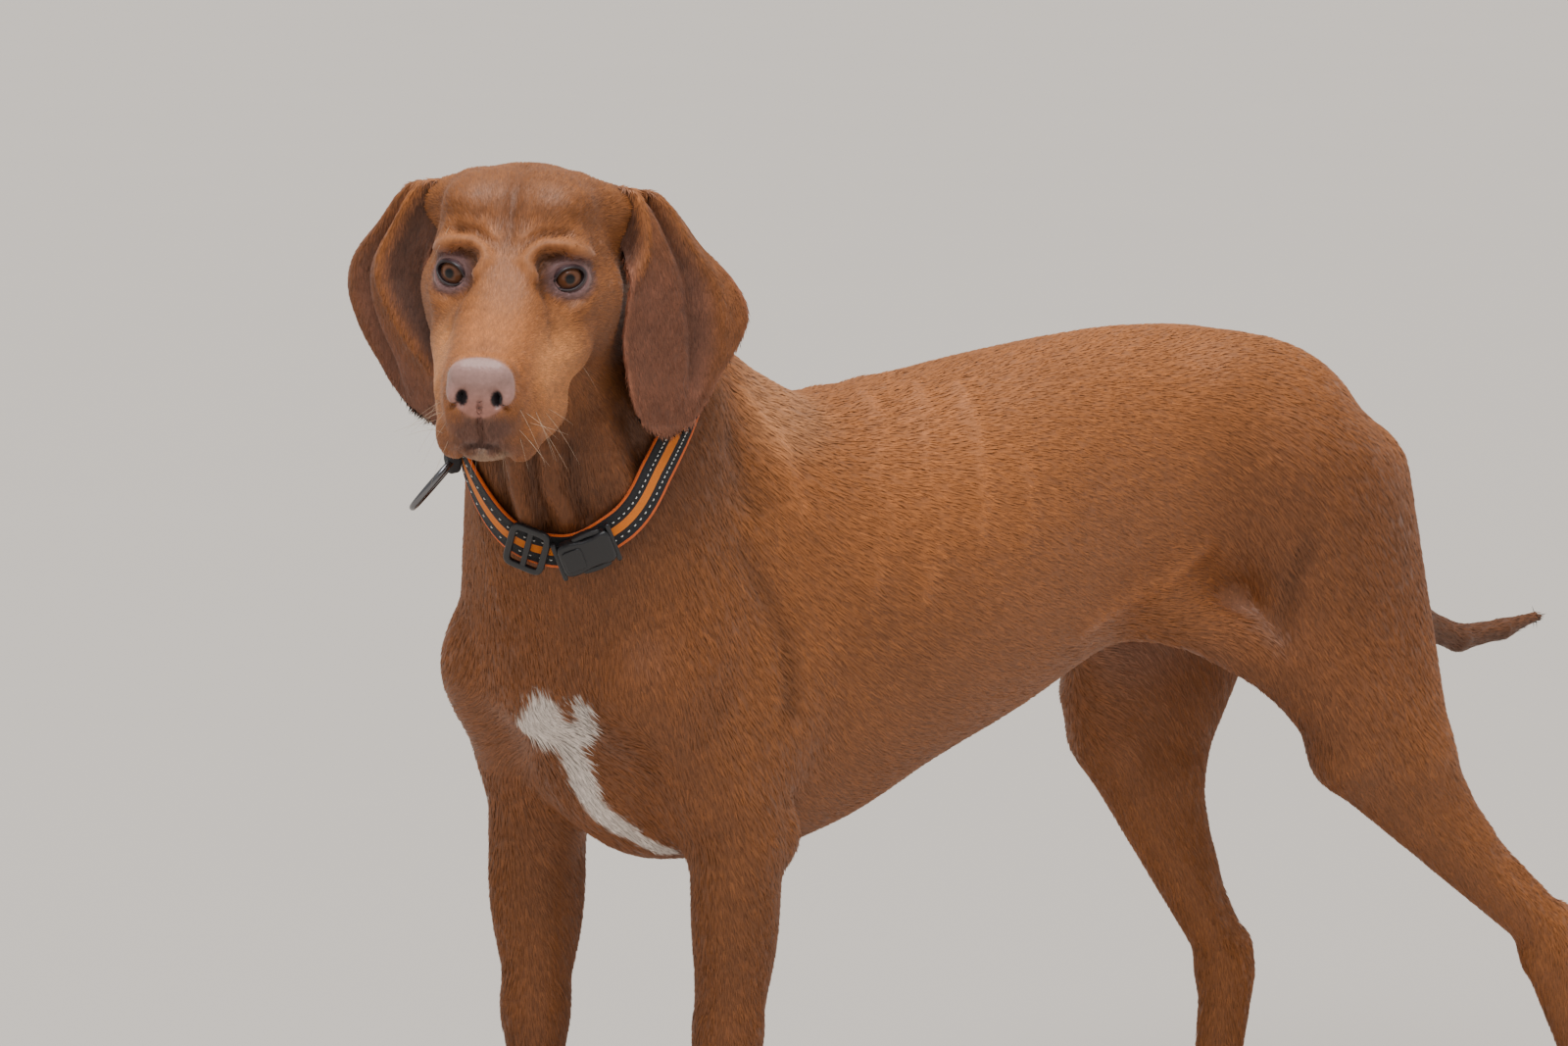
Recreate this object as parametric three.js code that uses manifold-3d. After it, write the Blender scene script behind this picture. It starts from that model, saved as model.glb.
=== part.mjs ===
// Standing pointing dog with a collar, life size, as a still model.
// Millimetres, +Z up. The dog looks along -Y and turns its head to its left, +X is its left side.
// The body is one field of soft masses. Rings of rays cast from the axis of each part find the skin,
// the closed lofts are joined, and the joined body is parted into named pieces by thin cuts.
import * as THREE from "three";
import { mergeVertices } from "three/addons/utils/BufferGeometryUtils.js";
import Module from "manifold-3d";

const wasm = await Module();
wasm.setup();

// ---------------------------------------------------------------- driving dimensions

const CUT = 0.3; // gap at every cut between two pieces
const REACH_STEP = 2.5; // step of a ray on its way out to the skin
const BODY_FACES = 3740; // triangles of the joined body before it is parted

// Trunk sections: [y, top, bottom, half width, height of the widest place].
const TRUNK = [
  [-104, 430, 385, 24, 408], [-88, 478, 340, 52, 415], [-55, 520, 306, 66, 420],
  [0, 550, 291, 76, 425], [40, 554, 289, 82, 428], [95, 549, 299, 86, 430],
  [155, 552, 322, 86, 440], [233, 560, 346, 78, 458], [300, 565, 370, 66, 472],
  [350, 566, 382, 60, 480], [400, 561, 390, 58, 480], [460, 543, 398, 54, 478],
  [505, 516, 405, 43, 468], [540, 488, 415, 29, 456], [562, 466, 430, 14, 449],
];
const TRUNK_POWER = 2.15; // 2 is an ellipse, more is squarer

// Head sections, seen from between the eyes: [forward, top, bottom, half width].
const HEAD = [
  [-106, 20, -14, 20], [-92, 35, -34, 34], [-72, 44, -50, 43], [-48, 48, -58, 47], [-25, 46, -63, 47],
  [-6, 36, -66, 41], [12, 18, -68, 33], [28, 5, -69, 28.5], [45, -4, -70, 27], [62, -9, -70, 26],
  [78, -12, -68, 24.5], [90, -15, -64, 22], [99, -20, -58, 18.5], [104, -28, -48, 13],
];
const HEAD_POWER = 2.35;
const EYE_MIDDLE = [88, -194, 643]; // the point between the eyes
const HEAD_YAW = 41.7; // degrees to the dog's left
const HEAD_PITCH = -9;
const HEAD_ROLL = -2;

// Joints: [distance from the middle plane, y, z].
const LEFT_FORE = { side: 1, elbowOut: 63, wristOut: 56, shift: -12 };
const RIGHT_FORE = { side: -1, elbowOut: 64, wristOut: 58, shift: -50 };
const HIP = [50, 470, 462];
const LEFT_HIND = { side: 1, knee: [82, 452, 304], hock: [100, 621, 170], toeJoint: [103, 682, 38] };
const RIGHT_HIND = { side: -1, knee: [70, 398, 302], hock: [66, 504, 146], toeJoint: [66, 492, 34] };

// Tail: [x, y, z, radius].
const TAIL = [
  [0, 532, 486, 17], [2, 556, 462, 14], [3, 570, 424, 12.5], [2, 584, 386, 11],
  [0, 606, 358, 10], [-4, 648, 342, 8.5], [-8, 694, 342, 6.5], [-12, 740, 347, 2.5],
];

// Ear rows from root to tip in the head's axes: [side, forward, up, half width].
const EAR_LEFT = [
  [38, -60, 38, 14], [52, -63, 32, 17], [62, -66, 22, 20], [72, -68, 2, 26], [79.5, -71, -16, 36.5],
  [83, -72, -34, 42.5], [80.5, -69, -51, 40.5], [77.5, -64, -67, 33], [76.5, -58, -81, 26],
  [76, -55, -92, 18], [75.5, -53.5, -99, 4],
];
const EAR_RIGHT = [
  [-37, -58, 38, 13], [-50, -60, 32, 17], [-59, -62, 22, 22], [-68, -66, 5, 28], [-78, -70, -14, 36],
  [-79, -71, -30, 40], [-74, -68, -47, 38.5], [-66, -64, -65, 36.5], [-60.5, -60, -81, 30],
  [-55, -58, -92, 20.5], [-50, -57, -98, 5],
];
const EAR_THICK = 3.4;
const EAR_GAP = 1.9; // between an ear and the skin it hangs on
const EAR_BOW = 7; // how far the middle of an ear bulges outwards

const EYE = { side: 28.2, forward: -5.5, up: 0, radius: 11, opening: [8.2, 12, 6.4], outward: 20, lift: 8 };
const CLAW = { length: 13, radius: 2.9 };

const COLLAR = { width: 21, thick: 2.6, gap: 0.8, segments: 48 };
// The collar's height at each direction about the neck, in degrees from the left side towards the tail.
const COLLAR_ROUTE = [
  [-110, 562], [-89, 531], [-77, 497], [-66, 488.5], [-54, 500], [-34, 531],
  [-10, 557], [30, 584], [90, 598], [150, 600], [210, 590],
];
const SLIDER = { direction: -73, length: 24, across: 29, bar: 4, thick: 3.4 };
const CLASP = { direction: -62, length: 34, across: 23, thick: 8 };
const RING = { direction: -92, radius: 12.5, wire: 2, stretch: 1.45, hang: [-0.44, -0.48, -0.76] };

const COLOURS = {
  coat: [0x9a5430, 0.75], ear: [0x6b3823, 0.7], nose: [0x8a6a68, 0.4], eye: [0x3a2012, 0.08],
  webbing: [0x17171a, 0.85], plastic: [0x101012, 0.45], steel: [0x9a9da0, 0.3],
};

// ---------------------------------------------------------------- field of masses

const vec = (a) => new THREE.Vector3(a[0], a[1], a[2]);
const rad = THREE.MathUtils.degToRad;

/** Rounded minimum of two distances: the two masses run together over the width k. */
function blendMin(a, b, k) {
  const h = Math.max(k - Math.abs(a - b), 0) / k;
  return Math.min(a, b) - (h * h * k) / 4;
}

/** Rotation whose columns are the side, length and up axes of a turned mass. */
function turned(yaw = 0, pitch = 0) {
  const aboutUp = new THREE.Matrix4().makeRotationZ(rad(yaw));
  return aboutUp.multiply(new THREE.Matrix4().makeRotationX(rad(pitch)));
}

/** Ellipsoid mass. */
function blob(centre, radii, blend, { yaw = 0, pitch = 0 } = {}) {
  const back = new THREE.Matrix4().makeTranslation(...centre).multiply(turned(yaw, pitch)).invert();
  const q = new THREE.Vector3();
  const distance = (p) => {
    q.copy(p).applyMatrix4(back);
    const [a, b, c] = [q.x / radii[0], q.y / radii[1], q.z / radii[2]];
    const k0 = Math.hypot(a, b, c);
    if (k0 < 0.05) return -Math.min(...radii);
    return (k0 * (k0 - 1)) / (Math.hypot(a / radii[0], b / radii[1], c / radii[2]) + 1e-9);
  };
  return { distance, blend };
}

/** Cone with round ends. With flat below 1 it is thinner along the direction thin. */
function cone(from, to, r0, r1, blend, thin = null, flat = 1) {
  const a = vec(from);
  const n = thin ? vec(thin).normalize() : new THREE.Vector3();
  const s = thin ? 1 / flat - 1 : 0;
  const along = vec(to).sub(a);
  along.addScaledVector(n, s * along.dot(n));
  const length2 = along.lengthSq();
  const q = new THREE.Vector3();
  const distance = (p) => {
    q.copy(p).sub(a);
    q.addScaledVector(n, s * q.dot(n));
    const t = THREE.MathUtils.clamp(q.dot(along) / length2, 0, 1);
    q.addScaledVector(along, -t);
    const l = q.length() + 1e-9;
    const d = l - (r0 + (r1 - r0) * t);
    q.divideScalar(l);
    return d / q.addScaledVector(n, s * q.dot(n)).length();
  };
  return { distance, blend };
}

/** Smooth curve through the points (x, y). */
function through(xs, ys) {
  const last = xs.length - 1;
  const step = xs.slice(1).map((x, i) => x - xs[i]);
  const rise = step.map((h, i) => (ys[i + 1] - ys[i]) / h);
  const slope = ys.map((_, i) => {
    if (i === 0) return rise[0];
    if (i === last) return rise[last - 1];
    return (rise[i - 1] * step[i] + rise[i] * step[i - 1]) / (step[i] + step[i - 1]);
  });
  return (at) => {
    const t = THREE.MathUtils.clamp(at, xs[0], xs[last]);
    let i = 0;
    while (i < last - 1 && t >= xs[i + 1]) i += 1;
    const [h, u] = [step[i], (t - xs[i]) / step[i]];
    const [u2, u3] = [u * u, u * u * u];
    return (2 * u3 - 3 * u2 + 1) * ys[i] + (u3 - 2 * u2 + u) * h * slope[i]
      + (3 * u2 - 2 * u3) * ys[i + 1] + (u3 - u2) * h * slope[i + 1];
  };
}

/** The smooth curves of a table of sections, one for each column after the first. */
function curves(rows) {
  const column = (k) => rows.map((row) => row[k]);
  return rows[0].slice(1).map((_, k) => through(column(0), column(k + 1)));
}

/** Mass swept along Y through super-ellipse sections [y, top, bottom, half width, widest height]. */
function swept(sections, blend, power) {
  const [top, bottom, width, widest] = curves(sections);
  const [first, last] = [sections[0][0], sections[sections.length - 1][0]];
  const distance = (p) => {
    const t = THREE.MathUtils.clamp(p.y, first, last);
    const middle = widest ? widest(t) : (top(t) + bottom(t)) / 2;
    const h = p.z > middle ? top(t) - middle : middle - bottom(t);
    const w = width(t);
    const [a, b] = [Math.abs(p.x) / w, Math.abs(p.z - middle) / h];
    const s = (a ** power + b ** power) ** (1 / power) + 1e-9;
    const g = s ** (1 - power) * Math.hypot(a ** (power - 1) / w, b ** (power - 1) / h) + 1e-9;
    const inner = -Math.min(w, h);
    const d = s < 0.1 ? inner : Math.max((s - 1) / g, inner);
    return p.y === t ? d : Math.hypot(Math.max(d, 0), p.y - t);
  };
  return { distance, blend };
}

/** The field of a list of masses: below 0 inside the body. */
function fieldOf(masses) {
  return (p) => masses.reduce((d, m) => blendMin(d, m.distance(p), m.blend), 60);
}

/** The same masses carried into place by a matrix. */
function placed(masses, matrix) {
  const back = matrix.clone().invert();
  const q = new THREE.Vector3();
  return masses.map(({ distance, blend }) => ({
    blend,
    distance: (p) => distance(q.copy(p).applyMatrix4(back)),
  }));
}

// ---------------------------------------------------------------- the dog's masses

/** A mass on the left and its mirror image on the right. */
const pair = (make) => [make(1), make(-1)];

function neckMasses() {
  return [
    cone([0, 2, 486], [32, -122, 622], 72, 50, 34, [1, -0.1, 0], 0.88),
    cone([0, -62, 430], [46, -144, 588], 64, 42, 28, [1, 0, 0], 0.98),
    cone([4, 40, 528], [26, -112, 655], 24, 26, 26),
    cone([-44, -76, 430], [-20, -90, 560], 34, 34, 40),
    cone([46, -58, 425], [52, -70, 555], 30, 30, 40),
    blob([0, -70, 420], [58, 42, 62], 24),
  ];
}

function headMasses() {
  return [
    swept(HEAD, 10, HEAD_POWER),
    ...pair((s) => blob([19 * s, -24, 33], [21, 26, 16], 12)),
    ...pair((s) => blob([26 * s, -6, 17], [14, 12, 8], 8, { yaw: -20 * s })),
    ...pair((s) => cone([42 * s, -36, -14], [35 * s, 0, -12], 9.5, 8, 12)),
    ...pair((s) => blob([34 * s, -46, -28], [18, 34, 28], 14)),
    ...pair((s) => cone([30 * s, -50, 28], [50 * s, -62, 24], 15, 8, 12)),
    ...pair((s) => cone([29 * s, 2, -36], [19 * s, 64, -44], 13, 9, 14)),
    ...pair((s) => cone([27.5 * s, 26, -64], [17.5 * s, 74, -67], 13, 12.5, 8, [1, 0, 0], 0.62)),
    ...pair((s) => cone([42 * s, -58, 22], [49 * s, -67, -10], 12, 8, 12)),
    blob([0, 74, -59], [15, 22, 10], 6),
  ];
}

/** A paw with four toes, its heel at x, y, its toes towards -Y, scaled by k. */
function pawMasses(side, x, y, k) {
  const at = (a, b, c) => [side * x + a * k, y + b * k, c * k];
  const toes = [[-20, -24, 9], [-8, -36, 10], [8, -36, 10], [20, -24, 9]];
  return [
    blob(at(0, -9, 19), [22 * k, 26 * k, 17 * k], 9),
    blob(at(0, 2, 10), [15 * k, 13 * k, 11.8 * k], 6),
    ...toes.flatMap(([a, b, r]) => [
      cone(at(a * 0.75, b + 14, 22), at(a, b, 11.5), 8.5 * k, r * k, 5),
      blob(at(a, b - 3, 8), [8 * k, 12 * k, 9.8 * k], 3.5),
    ]),
  ];
}

function foreMasses({ side, elbowOut, wristOut, shift }) {
  const at = (x, y, z) => [side * x, y, z];
  const d = shift;
  const middle = (elbowOut + wristOut) / 2 + 1;
  return [
    cone(at(24, 32, 528), at(54, -60, 420), 20, 31, 26, [1, 0, 0], 0.85),
    blob(at(55, -80 + d * 0.3, 405), [22, 22, 32], 20),
    cone(at(56, -66 + d * 0.4, 402), at(elbowOut, -6 + d, 322), 29, 26, 22),
    blob(at(62, d * 0.6, 378), [23, 44, 66], 18, { pitch: -18 }),
    blob(at(elbowOut + 6, 24 + d, 314), [12, 12, 18], 10),
    cone(at(elbowOut, -4 + d, 302), at(middle, -8 + d, 200), 26, 18.5, 14),
    blob(at(elbowOut + 4, -14 + d, 272), [16, 17, 42], 12, { pitch: 4 }),
    blob(at(elbowOut - 2, 10 + d, 262), [14, 14, 46], 12, { pitch: -8 }),
    cone(at(middle, -8 + d, 205), at(wristOut, -11 + d, 108), 18.5, 14.5, 10),
    blob(at(wristOut, -13 + d, 100), [17, 16.5, 20], 8),
    blob(at(wristOut, 3 + d, 88), [8, 7, 10], 6),
    cone(at(wristOut, -13 + d, 92), at(wristOut + 1, -25 + d, 34), 14.5, 15.5, 8, [0, 1, 0], 0.9),
    ...pawMasses(side, wristOut + 1, -25 + d, 1),
  ];
}

/** Points near the shank, given as distances along it, behind it, and raised. */
function shank({ side, knee, hock }) {
  const mirror = (p) => new THREE.Vector3(side * p[0], p[1], p[2]);
  const [k, h] = [mirror(knee), mirror(hock)];
  const along = h.clone().sub(k).normalize();
  const back = along.clone().cross(new THREE.Vector3(side, 0, 0)).normalize();
  if (back.y < 0) back.negate();
  const from = (start) => (a, b, up = 0) =>
    start.clone().addScaledVector(along, a).addScaledVector(back, b).add(vec([0, 0, up])).toArray();
  return { atKnee: from(k), atHock: from(h), k, h };
}

function hindMasses(leg) {
  const { side, toeJoint } = leg;
  const { atKnee, atHock, k, h } = shank(leg);
  const hip = [side * HIP[0], HIP[1], HIP[2]];
  const near = (p, x, y, z) => [p[0] + x, p[1] + y, p[2] + z];
  const foot = [side * toeJoint[0], toeJoint[1], toeJoint[2]];
  const flatSide = [1, 0, 0];
  return [
    blob([side * 32, 430, 500], [32, 78, 50], 30, { pitch: -12 }),
    cone(near(hip, 0, -34, 4), near(k.toArray(), 0, 0, 26), 50, 26, 28, flatSide, 0.74),
    cone([side * 38, 514, 460], atKnee(50, 34), 33, 25, 24, flatSide, 0.78),
    cone(near(hip, side * 2, -2, -12), atKnee(20, 26), 48, 32, 24, flatSide, 0.74),
    cone([side * 38, 345, 396], near(k.toArray(), side * -4, -2, 36), 14, 17, 34, flatSide, 0.7),
    blob(near(k.toArray(), 0, 3, 6), [19, 20, 24], 14),
    cone(atKnee(4, 0), atHock(-10, 0), 20, 14.5, 14),
    cone(atKnee(52, 27), atKnee(122, 15), 27, 14, 14, flatSide, 0.85),
    cone(atKnee(118, 18), atHock(-4, 15), 11, 7.5, 10, flatSide, 0.75),
    blob(atHock(2, 15), [8.5, 10, 12], 6),
    blob(near(h.toArray(), 0, -2, -4), [15.5, 20, 22], 9),
    cone(near(h.toArray(), 0, 3, -12), foot, 20, 15, 8, flatSide, 0.78),
    ...pawMasses(side, toeJoint[0], toeJoint[1] - 2, 0.93),
  ];
}

function tailMasses() {
  return TAIL.slice(1).map((row, i) => cone(TAIL[i], row, TAIL[i][3], row[3], 5));
}

/** Matrix from the head's axes (side, forward, up) to the body's. */
function headMatrix() {
  const [yaw, pitch, roll] = [HEAD_YAW, HEAD_PITCH, HEAD_ROLL].map(rad);
  const flat = Math.cos(pitch);
  const forward = vec([Math.sin(yaw) * flat, -Math.cos(yaw) * flat, Math.sin(pitch)]);
  const left = vec([Math.cos(yaw), Math.sin(yaw), 0]);
  const up = left.clone().cross(forward).negate();
  const side = left.clone().multiplyScalar(Math.cos(roll)).addScaledVector(up, Math.sin(roll));
  const top = up.clone().multiplyScalar(Math.cos(roll)).addScaledVector(left, -Math.sin(roll));
  return new THREE.Matrix4().makeBasis(side, forward, top).setPosition(...EYE_MIDDLE);
}

const headFrame = headMatrix();
const inHead = (a) => vec(a).applyMatrix4(headFrame);
const headList = placed(headMasses(), headFrame);
const coreList = [swept(TRUNK, 20, TRUNK_POWER), ...neckMasses()];
const skin = fieldOf([
  ...coreList, ...foreMasses(LEFT_FORE), ...foreMasses(RIGHT_FORE),
  ...hindMasses(LEFT_HIND), ...hindMasses(RIGHT_HIND), ...tailMasses(), ...headList,
]);
const coreSkin = fieldOf(coreList);
const headSkin = fieldOf(headList);

// ---------------------------------------------------------------- solids from meshes

/** Turns a geometry's faces outwards if they point in. */
function outwards(geometry) {
  const p = geometry.attributes.position;
  const index = geometry.index.array;
  const corner = [0, 1, 2].map(() => new THREE.Vector3());
  let volume = 0;
  for (let i = 0; i < index.length; i += 3) {
    corner.forEach((c, k) => c.fromBufferAttribute(p, index[i + k]));
    volume += corner[0].dot(corner[1].cross(corner[2]));
  }
  if (volume < 0) {
    for (let i = 0; i < index.length; i += 3) [index[i], index[i + 1]] = [index[i + 1], index[i]];
  }
  return geometry;
}

/** A closed manifold solid from a three.js geometry, its faces pointing out. */
function solid(geometry) {
  const bare = geometry.clone();
  for (const name of ["normal", "uv"]) bare.deleteAttribute(name);
  const merged = outwards(mergeVertices(bare, 1e-4));
  return new wasm.Manifold(new wasm.Mesh({
    numProp: 3,
    vertProperties: new Float32Array(merged.attributes.position.array),
    triVerts: new Uint32Array(merged.index.array),
  }));
}

/** A three.js geometry from a manifold solid. */
function geometryOf(body) {
  const mesh = body.getMesh();
  const geometry = new THREE.BufferGeometry();
  geometry.setAttribute("position", new THREE.BufferAttribute(new Float32Array(mesh.vertProperties), 3));
  geometry.setIndex(new THREE.BufferAttribute(new Uint32Array(mesh.triVerts), 1));
  geometry.computeVertexNormals();
  return geometry;
}

/** Closed geometry over rings of points, each end closed by a fan to its own tip. */
function overRings(rings, startTip, endTip) {
  const n = rings[0].length;
  const points = [...rings.flat(), startTip, endTip];
  const tip = rings.length * n;
  const faces = [];
  for (let j = 0; j < n; j += 1) {
    const k = (j + 1) % n;
    for (let i = 0; i + 1 < rings.length; i += 1) {
      const [a, b, c, d] = [i * n + j, i * n + k, (i + 1) * n + k, (i + 1) * n + j];
      const short = points[a].distanceTo(points[c]) < points[b].distanceTo(points[d]);
      faces.push(...(short ? [a, b, c, a, c, d] : [a, b, d, b, c, d]));
    }
    faces.push(tip, k, j, tip + 1, tip - n + j, tip - n + k);
  }
  const geometry = new THREE.BufferGeometry().setFromPoints(points);
  geometry.setIndex(faces);
  return geometry;
}

// ---------------------------------------------------------------- thinning a mesh

/** Error form of a triangle's plane: the squared distance of a point to it, weighted. */
function planeForm(a, b, c) {
  const n = b.clone().sub(a).cross(c.clone().sub(a));
  const area = n.length();
  if (area < 1e-9) return new Array(10).fill(0);
  n.divideScalar(area);
  const w = -n.dot(a);
  const q = [n.x, n.y, n.z, w];
  const form = [];
  for (let i = 0; i < 4; i += 1) for (let j = i; j < 4; j += 1) form.push(area * q[i] * q[j]);
  return form;
}

/** Value of an error form at a point. */
function formAt(f, { x, y, z }) {
  return f[0] * x * x + 2 * f[1] * x * y + 2 * f[2] * x * z + 2 * f[3] * x + f[4] * y * y
    + 2 * f[5] * y * z + 2 * f[6] * y + f[7] * z * z + 2 * f[8] * z + f[9];
}

/** Mesh that can lose edges: each edge goes to its cheapest place, cheapest edges first. */
class Thinner {
  constructor(body) {
    const mesh = body.getMesh();
    const p = mesh.vertProperties;
    this.points = Array.from({ length: p.length / 3 }, (_, i) => vec([p[3 * i], p[3 * i + 1], p[3 * i + 2]]));
    this.faces = Array.from({ length: mesh.triVerts.length / 3 }, (_, i) => [...mesh.triVerts.slice(3 * i, 3 * i + 3)]);
    this.around = this.points.map(() => new Set());
    this.forms = this.points.map(() => new Array(10).fill(0));
    this.faces.forEach((face, f) => {
      const form = planeForm(...face.map((v) => this.points[v]));
      for (const v of face) {
        this.around[v].add(f);
        form.forEach((value, i) => { this.forms[v][i] += value; });
      }
    });
    this.count = this.faces.length;
  }

  neighbours(v) {
    const found = new Set();
    for (const f of this.around[v]) for (const w of this.faces[f]) if (w !== v) found.add(w);
    return found;
  }

  /** Cheapest of the two ends and the middle of an edge. */
  plan(u, v) {
    const form = this.forms[u].map((value, i) => value + this.forms[v][i]);
    const [a, b] = [this.points[u], this.points[v]];
    const extra = 0.002 * a.distanceToSquared(b);
    const places = [a, b, a.clone().add(b).multiplyScalar(0.5)];
    const costs = places.map((place) => formAt(form, place) + extra);
    const best = costs.indexOf(Math.min(...costs));
    return { u, v, place: places[best].clone(), cost: costs[best], form };
  }

  /** True when no face about v, apart from those with the other end, turns over at the place. */
  keepsFaces(v, other, place) {
    for (const f of this.around[v]) {
      const face = this.faces[f];
      if (face.includes(other)) continue;
      const before = face.map((w) => this.points[w]);
      const after = face.map((w) => (w === v ? place : this.points[w]));
      const normal = ([a, b, c]) => b.clone().sub(a).cross(c.clone().sub(a));
      const [m, n] = [normal(before), normal(after)];
      if (n.length() < 0.02 || m.dot(n) < 0.35 * m.length() * n.length()) return false;
    }
    return true;
  }

  collapse({ u, v, place, form }) {
    const shared = [...this.neighbours(u)].filter((w) => this.around[v].size && this.neighbours(v).has(w));
    if (shared.length !== 2) return false;
    if (!this.keepsFaces(u, v, place) || !this.keepsFaces(v, u, place)) return false;
    for (const f of [...this.around[v]]) {
      const face = this.faces[f];
      if (face.includes(u)) {
        for (const w of face) this.around[w].delete(f);
        this.faces[f] = null;
        this.count -= 1;
      } else {
        face[face.indexOf(v)] = u;
        this.around[u].add(f);
      }
    }
    this.around[v].clear();
    this.points[u] = place;
    this.forms[u] = form;
    return true;
  }

  /** Rounds of collapses, each over the cheapest edges that don't touch one another. */
  thin(target) {
    while (this.count > target) {
      const plans = [];
      this.faces.forEach((face) => {
        if (!face) return;
        face.forEach((u, i) => {
          const v = face[(i + 1) % 3];
          if (u < v) plans.push(this.plan(u, v));
        });
      });
      plans.sort((a, b) => a.cost - b.cost);
      const touched = new Set();
      const before = this.count;
      for (const plan of plans.slice(0, Math.ceil(plans.length * 0.25))) {
        if (this.count <= target) break;
        if (touched.has(plan.u) || touched.has(plan.v)) continue;
        const near = [...this.neighbours(plan.u), ...this.neighbours(plan.v)];
        if (this.collapse(plan)) near.forEach((w) => touched.add(w));
      }
      if (this.count === before) break;
    }
    const flat = this.points.flatMap((p) => p.toArray());
    const geometry = new THREE.BufferGeometry();
    geometry.setAttribute("position", new THREE.BufferAttribute(new Float32Array(flat), 3));
    geometry.setIndex(this.faces.filter(Boolean).flat());
    return solid(geometry);
  }
}

// ---------------------------------------------------------------- rays and lofts

/** Length of a ray from inside a field to where the field passes the level, or the limit. */
function reach(field, from, direction, limit, level = 0) {
  const p = new THREE.Vector3();
  const outside = (t) => field(p.copy(from).addScaledVector(direction, t)) > level;
  let near = 0;
  while (near < limit && !outside(near + REACH_STEP)) near += REACH_STEP;
  if (near >= limit) return limit;
  let far = near + REACH_STEP;
  for (let i = 0; i < 9; i += 1) {
    const half = (near + far) / 2;
    if (outside(half)) far = half;
    else near = half;
  }
  return Math.min(far, limit);
}

/** Rays of one ring about a centre in the plane of two unit axes, cast out to the skin. */
function ring(centre, across, over, count, limit, level = 0) {
  return Array.from({ length: count }, (_, j) => {
    const angle = (2 * Math.PI * (j + 0.5)) / count;
    const direction = across.clone().multiplyScalar(Math.cos(angle)).addScaledVector(over, Math.sin(angle));
    const far = limit(centre, direction);
    return centre.clone().addScaledVector(direction, reach(skin, centre, direction, far, level));
  });
}

/**
 * Loft of rings along a path. Each ring stands square to the path, and side is
 * the direction in which each ring's first axis lies as nearly as it can.
 */
function castAlong(path, { rings, count, radius, side = [1, 0, 0], ends = [radius, radius], level = 0 }) {
  const limit = () => radius;
  const made = [];
  for (let i = 0; i < rings; i += 1) {
    const t = i / (rings - 1);
    const tangent = path.getTangentAt(t);
    const across = vec(side).addScaledVector(tangent, -vec(side).dot(tangent)).normalize();
    const over = tangent.clone().cross(across).normalize();
    made.push(ring(path.getPointAt(t), across, over, count, limit, level));
  }
  const tip = (t, sign, far) => {
    const [centre, direction] = [path.getPointAt(t), path.getTangentAt(t).multiplyScalar(sign)];
    return centre.clone().addScaledVector(direction, reach(skin, centre, direction, far, level));
  };
  return solid(overRings(made, tip(0, -1, ends[0]), tip(1, 1, ends[1])));
}

const spline = (points) => new THREE.CatmullRomCurve3(points.map(vec), false, "centripetal");

/** Trunk: upright rings along Y that stay close to the trunk's own mass. */
function trunkSolid() {
  const [, , , widest] = curves(TRUNK);
  const [x, z] = [vec([1, 0, 0]), vec([0, 0, 1])];
  const flesh = (direction) => 13 + 45 * THREE.MathUtils.smoothstep(direction.z, -0.7, -0.2); // more at the sides
  const margin = (centre, direction) => reach(coreSkin, centre, direction, 400) + flesh(direction);
  const [first, last] = [TRUNK[0][0] + 4, TRUNK[TRUNK.length - 1][0] - 3];
  const rings = [];
  for (let i = 0; i < 34; i += 1) {
    const y = THREE.MathUtils.lerp(first, last, i / 33);
    rings.push(ring(vec([0, y, widest(y)]), x, z, 34, margin));
  }
  const tip = (y, sign) => {
    const [centre, direction] = [vec([0, y, widest(y)]), vec([0, sign, 0])];
    return centre.clone().addScaledVector(direction, reach(skin, centre, direction, 30));
  };
  return solid(overRings(rings, tip(first, -1), tip(last, 1)));
}

/** Head: rings square to its forward axis, closer together towards the eyes and the nose. */
function headSolid(level = 0) {
  const [top, bottom] = curves(HEAD);
  const middle = (f) => (top(f) + bottom(f)) / 2;
  const origin = inHead([0, 0, 0]);
  const axis = (a) => inHead(a).sub(origin);
  const [side, forward, up] = [axis([1, 0, 0]), axis([0, 1, 0]), axis([0, 0, 1])];
  const margin = (centre, direction) => reach(headSkin, centre, direction, 150) + 7;
  const stops = through([0, 7, 15, 25, 33, 40], [-98, -60, -20, 20, 62, 100]);
  const rings = [];
  for (let i = 0; i <= 40; i += 1) {
    rings.push(ring(inHead([0, stops(i), middle(stops(i))]), side, up, 40, margin, level));
  }
  const tip = (f, sign) => {
    const [centre, direction] = [inHead([0, f, middle(f)]), forward.clone().multiplyScalar(sign)];
    return centre.clone().addScaledVector(direction, reach(skin, centre, direction, 20));
  };
  return solid(overRings(rings, tip(stops(0), -1), tip(stops(40), 1)));
}

function neckSolid(level = 0) {
  const path = spline([[0, 30, 470], [8, -30, 520], [24, -88, 582], [40, -124, 628]]);
  return castAlong(path, { rings: 12, count: 28, radius: 92, ends: [5, 5], level });
}

function tailSolid() {
  const path = spline(TAIL.map(([x, y, z]) => [x, y, z]));
  return castAlong(path, { rings: 20, count: 9, radius: 20, ends: [3, 8] });
}

/** Paw: upright rings from heel to toe tips, flat where they meet the floor. */
function pawSolid(side, x, y, k) {
  const path = new THREE.LineCurve3(
    vec([side * x, y + 12 * k, 15 * k]),
    vec([side * x, y - 44 * k, 12 * k]),
  );
  return castAlong(path, { rings: 20, count: 32, radius: 34 * k, ends: [12, 12] });
}

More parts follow.
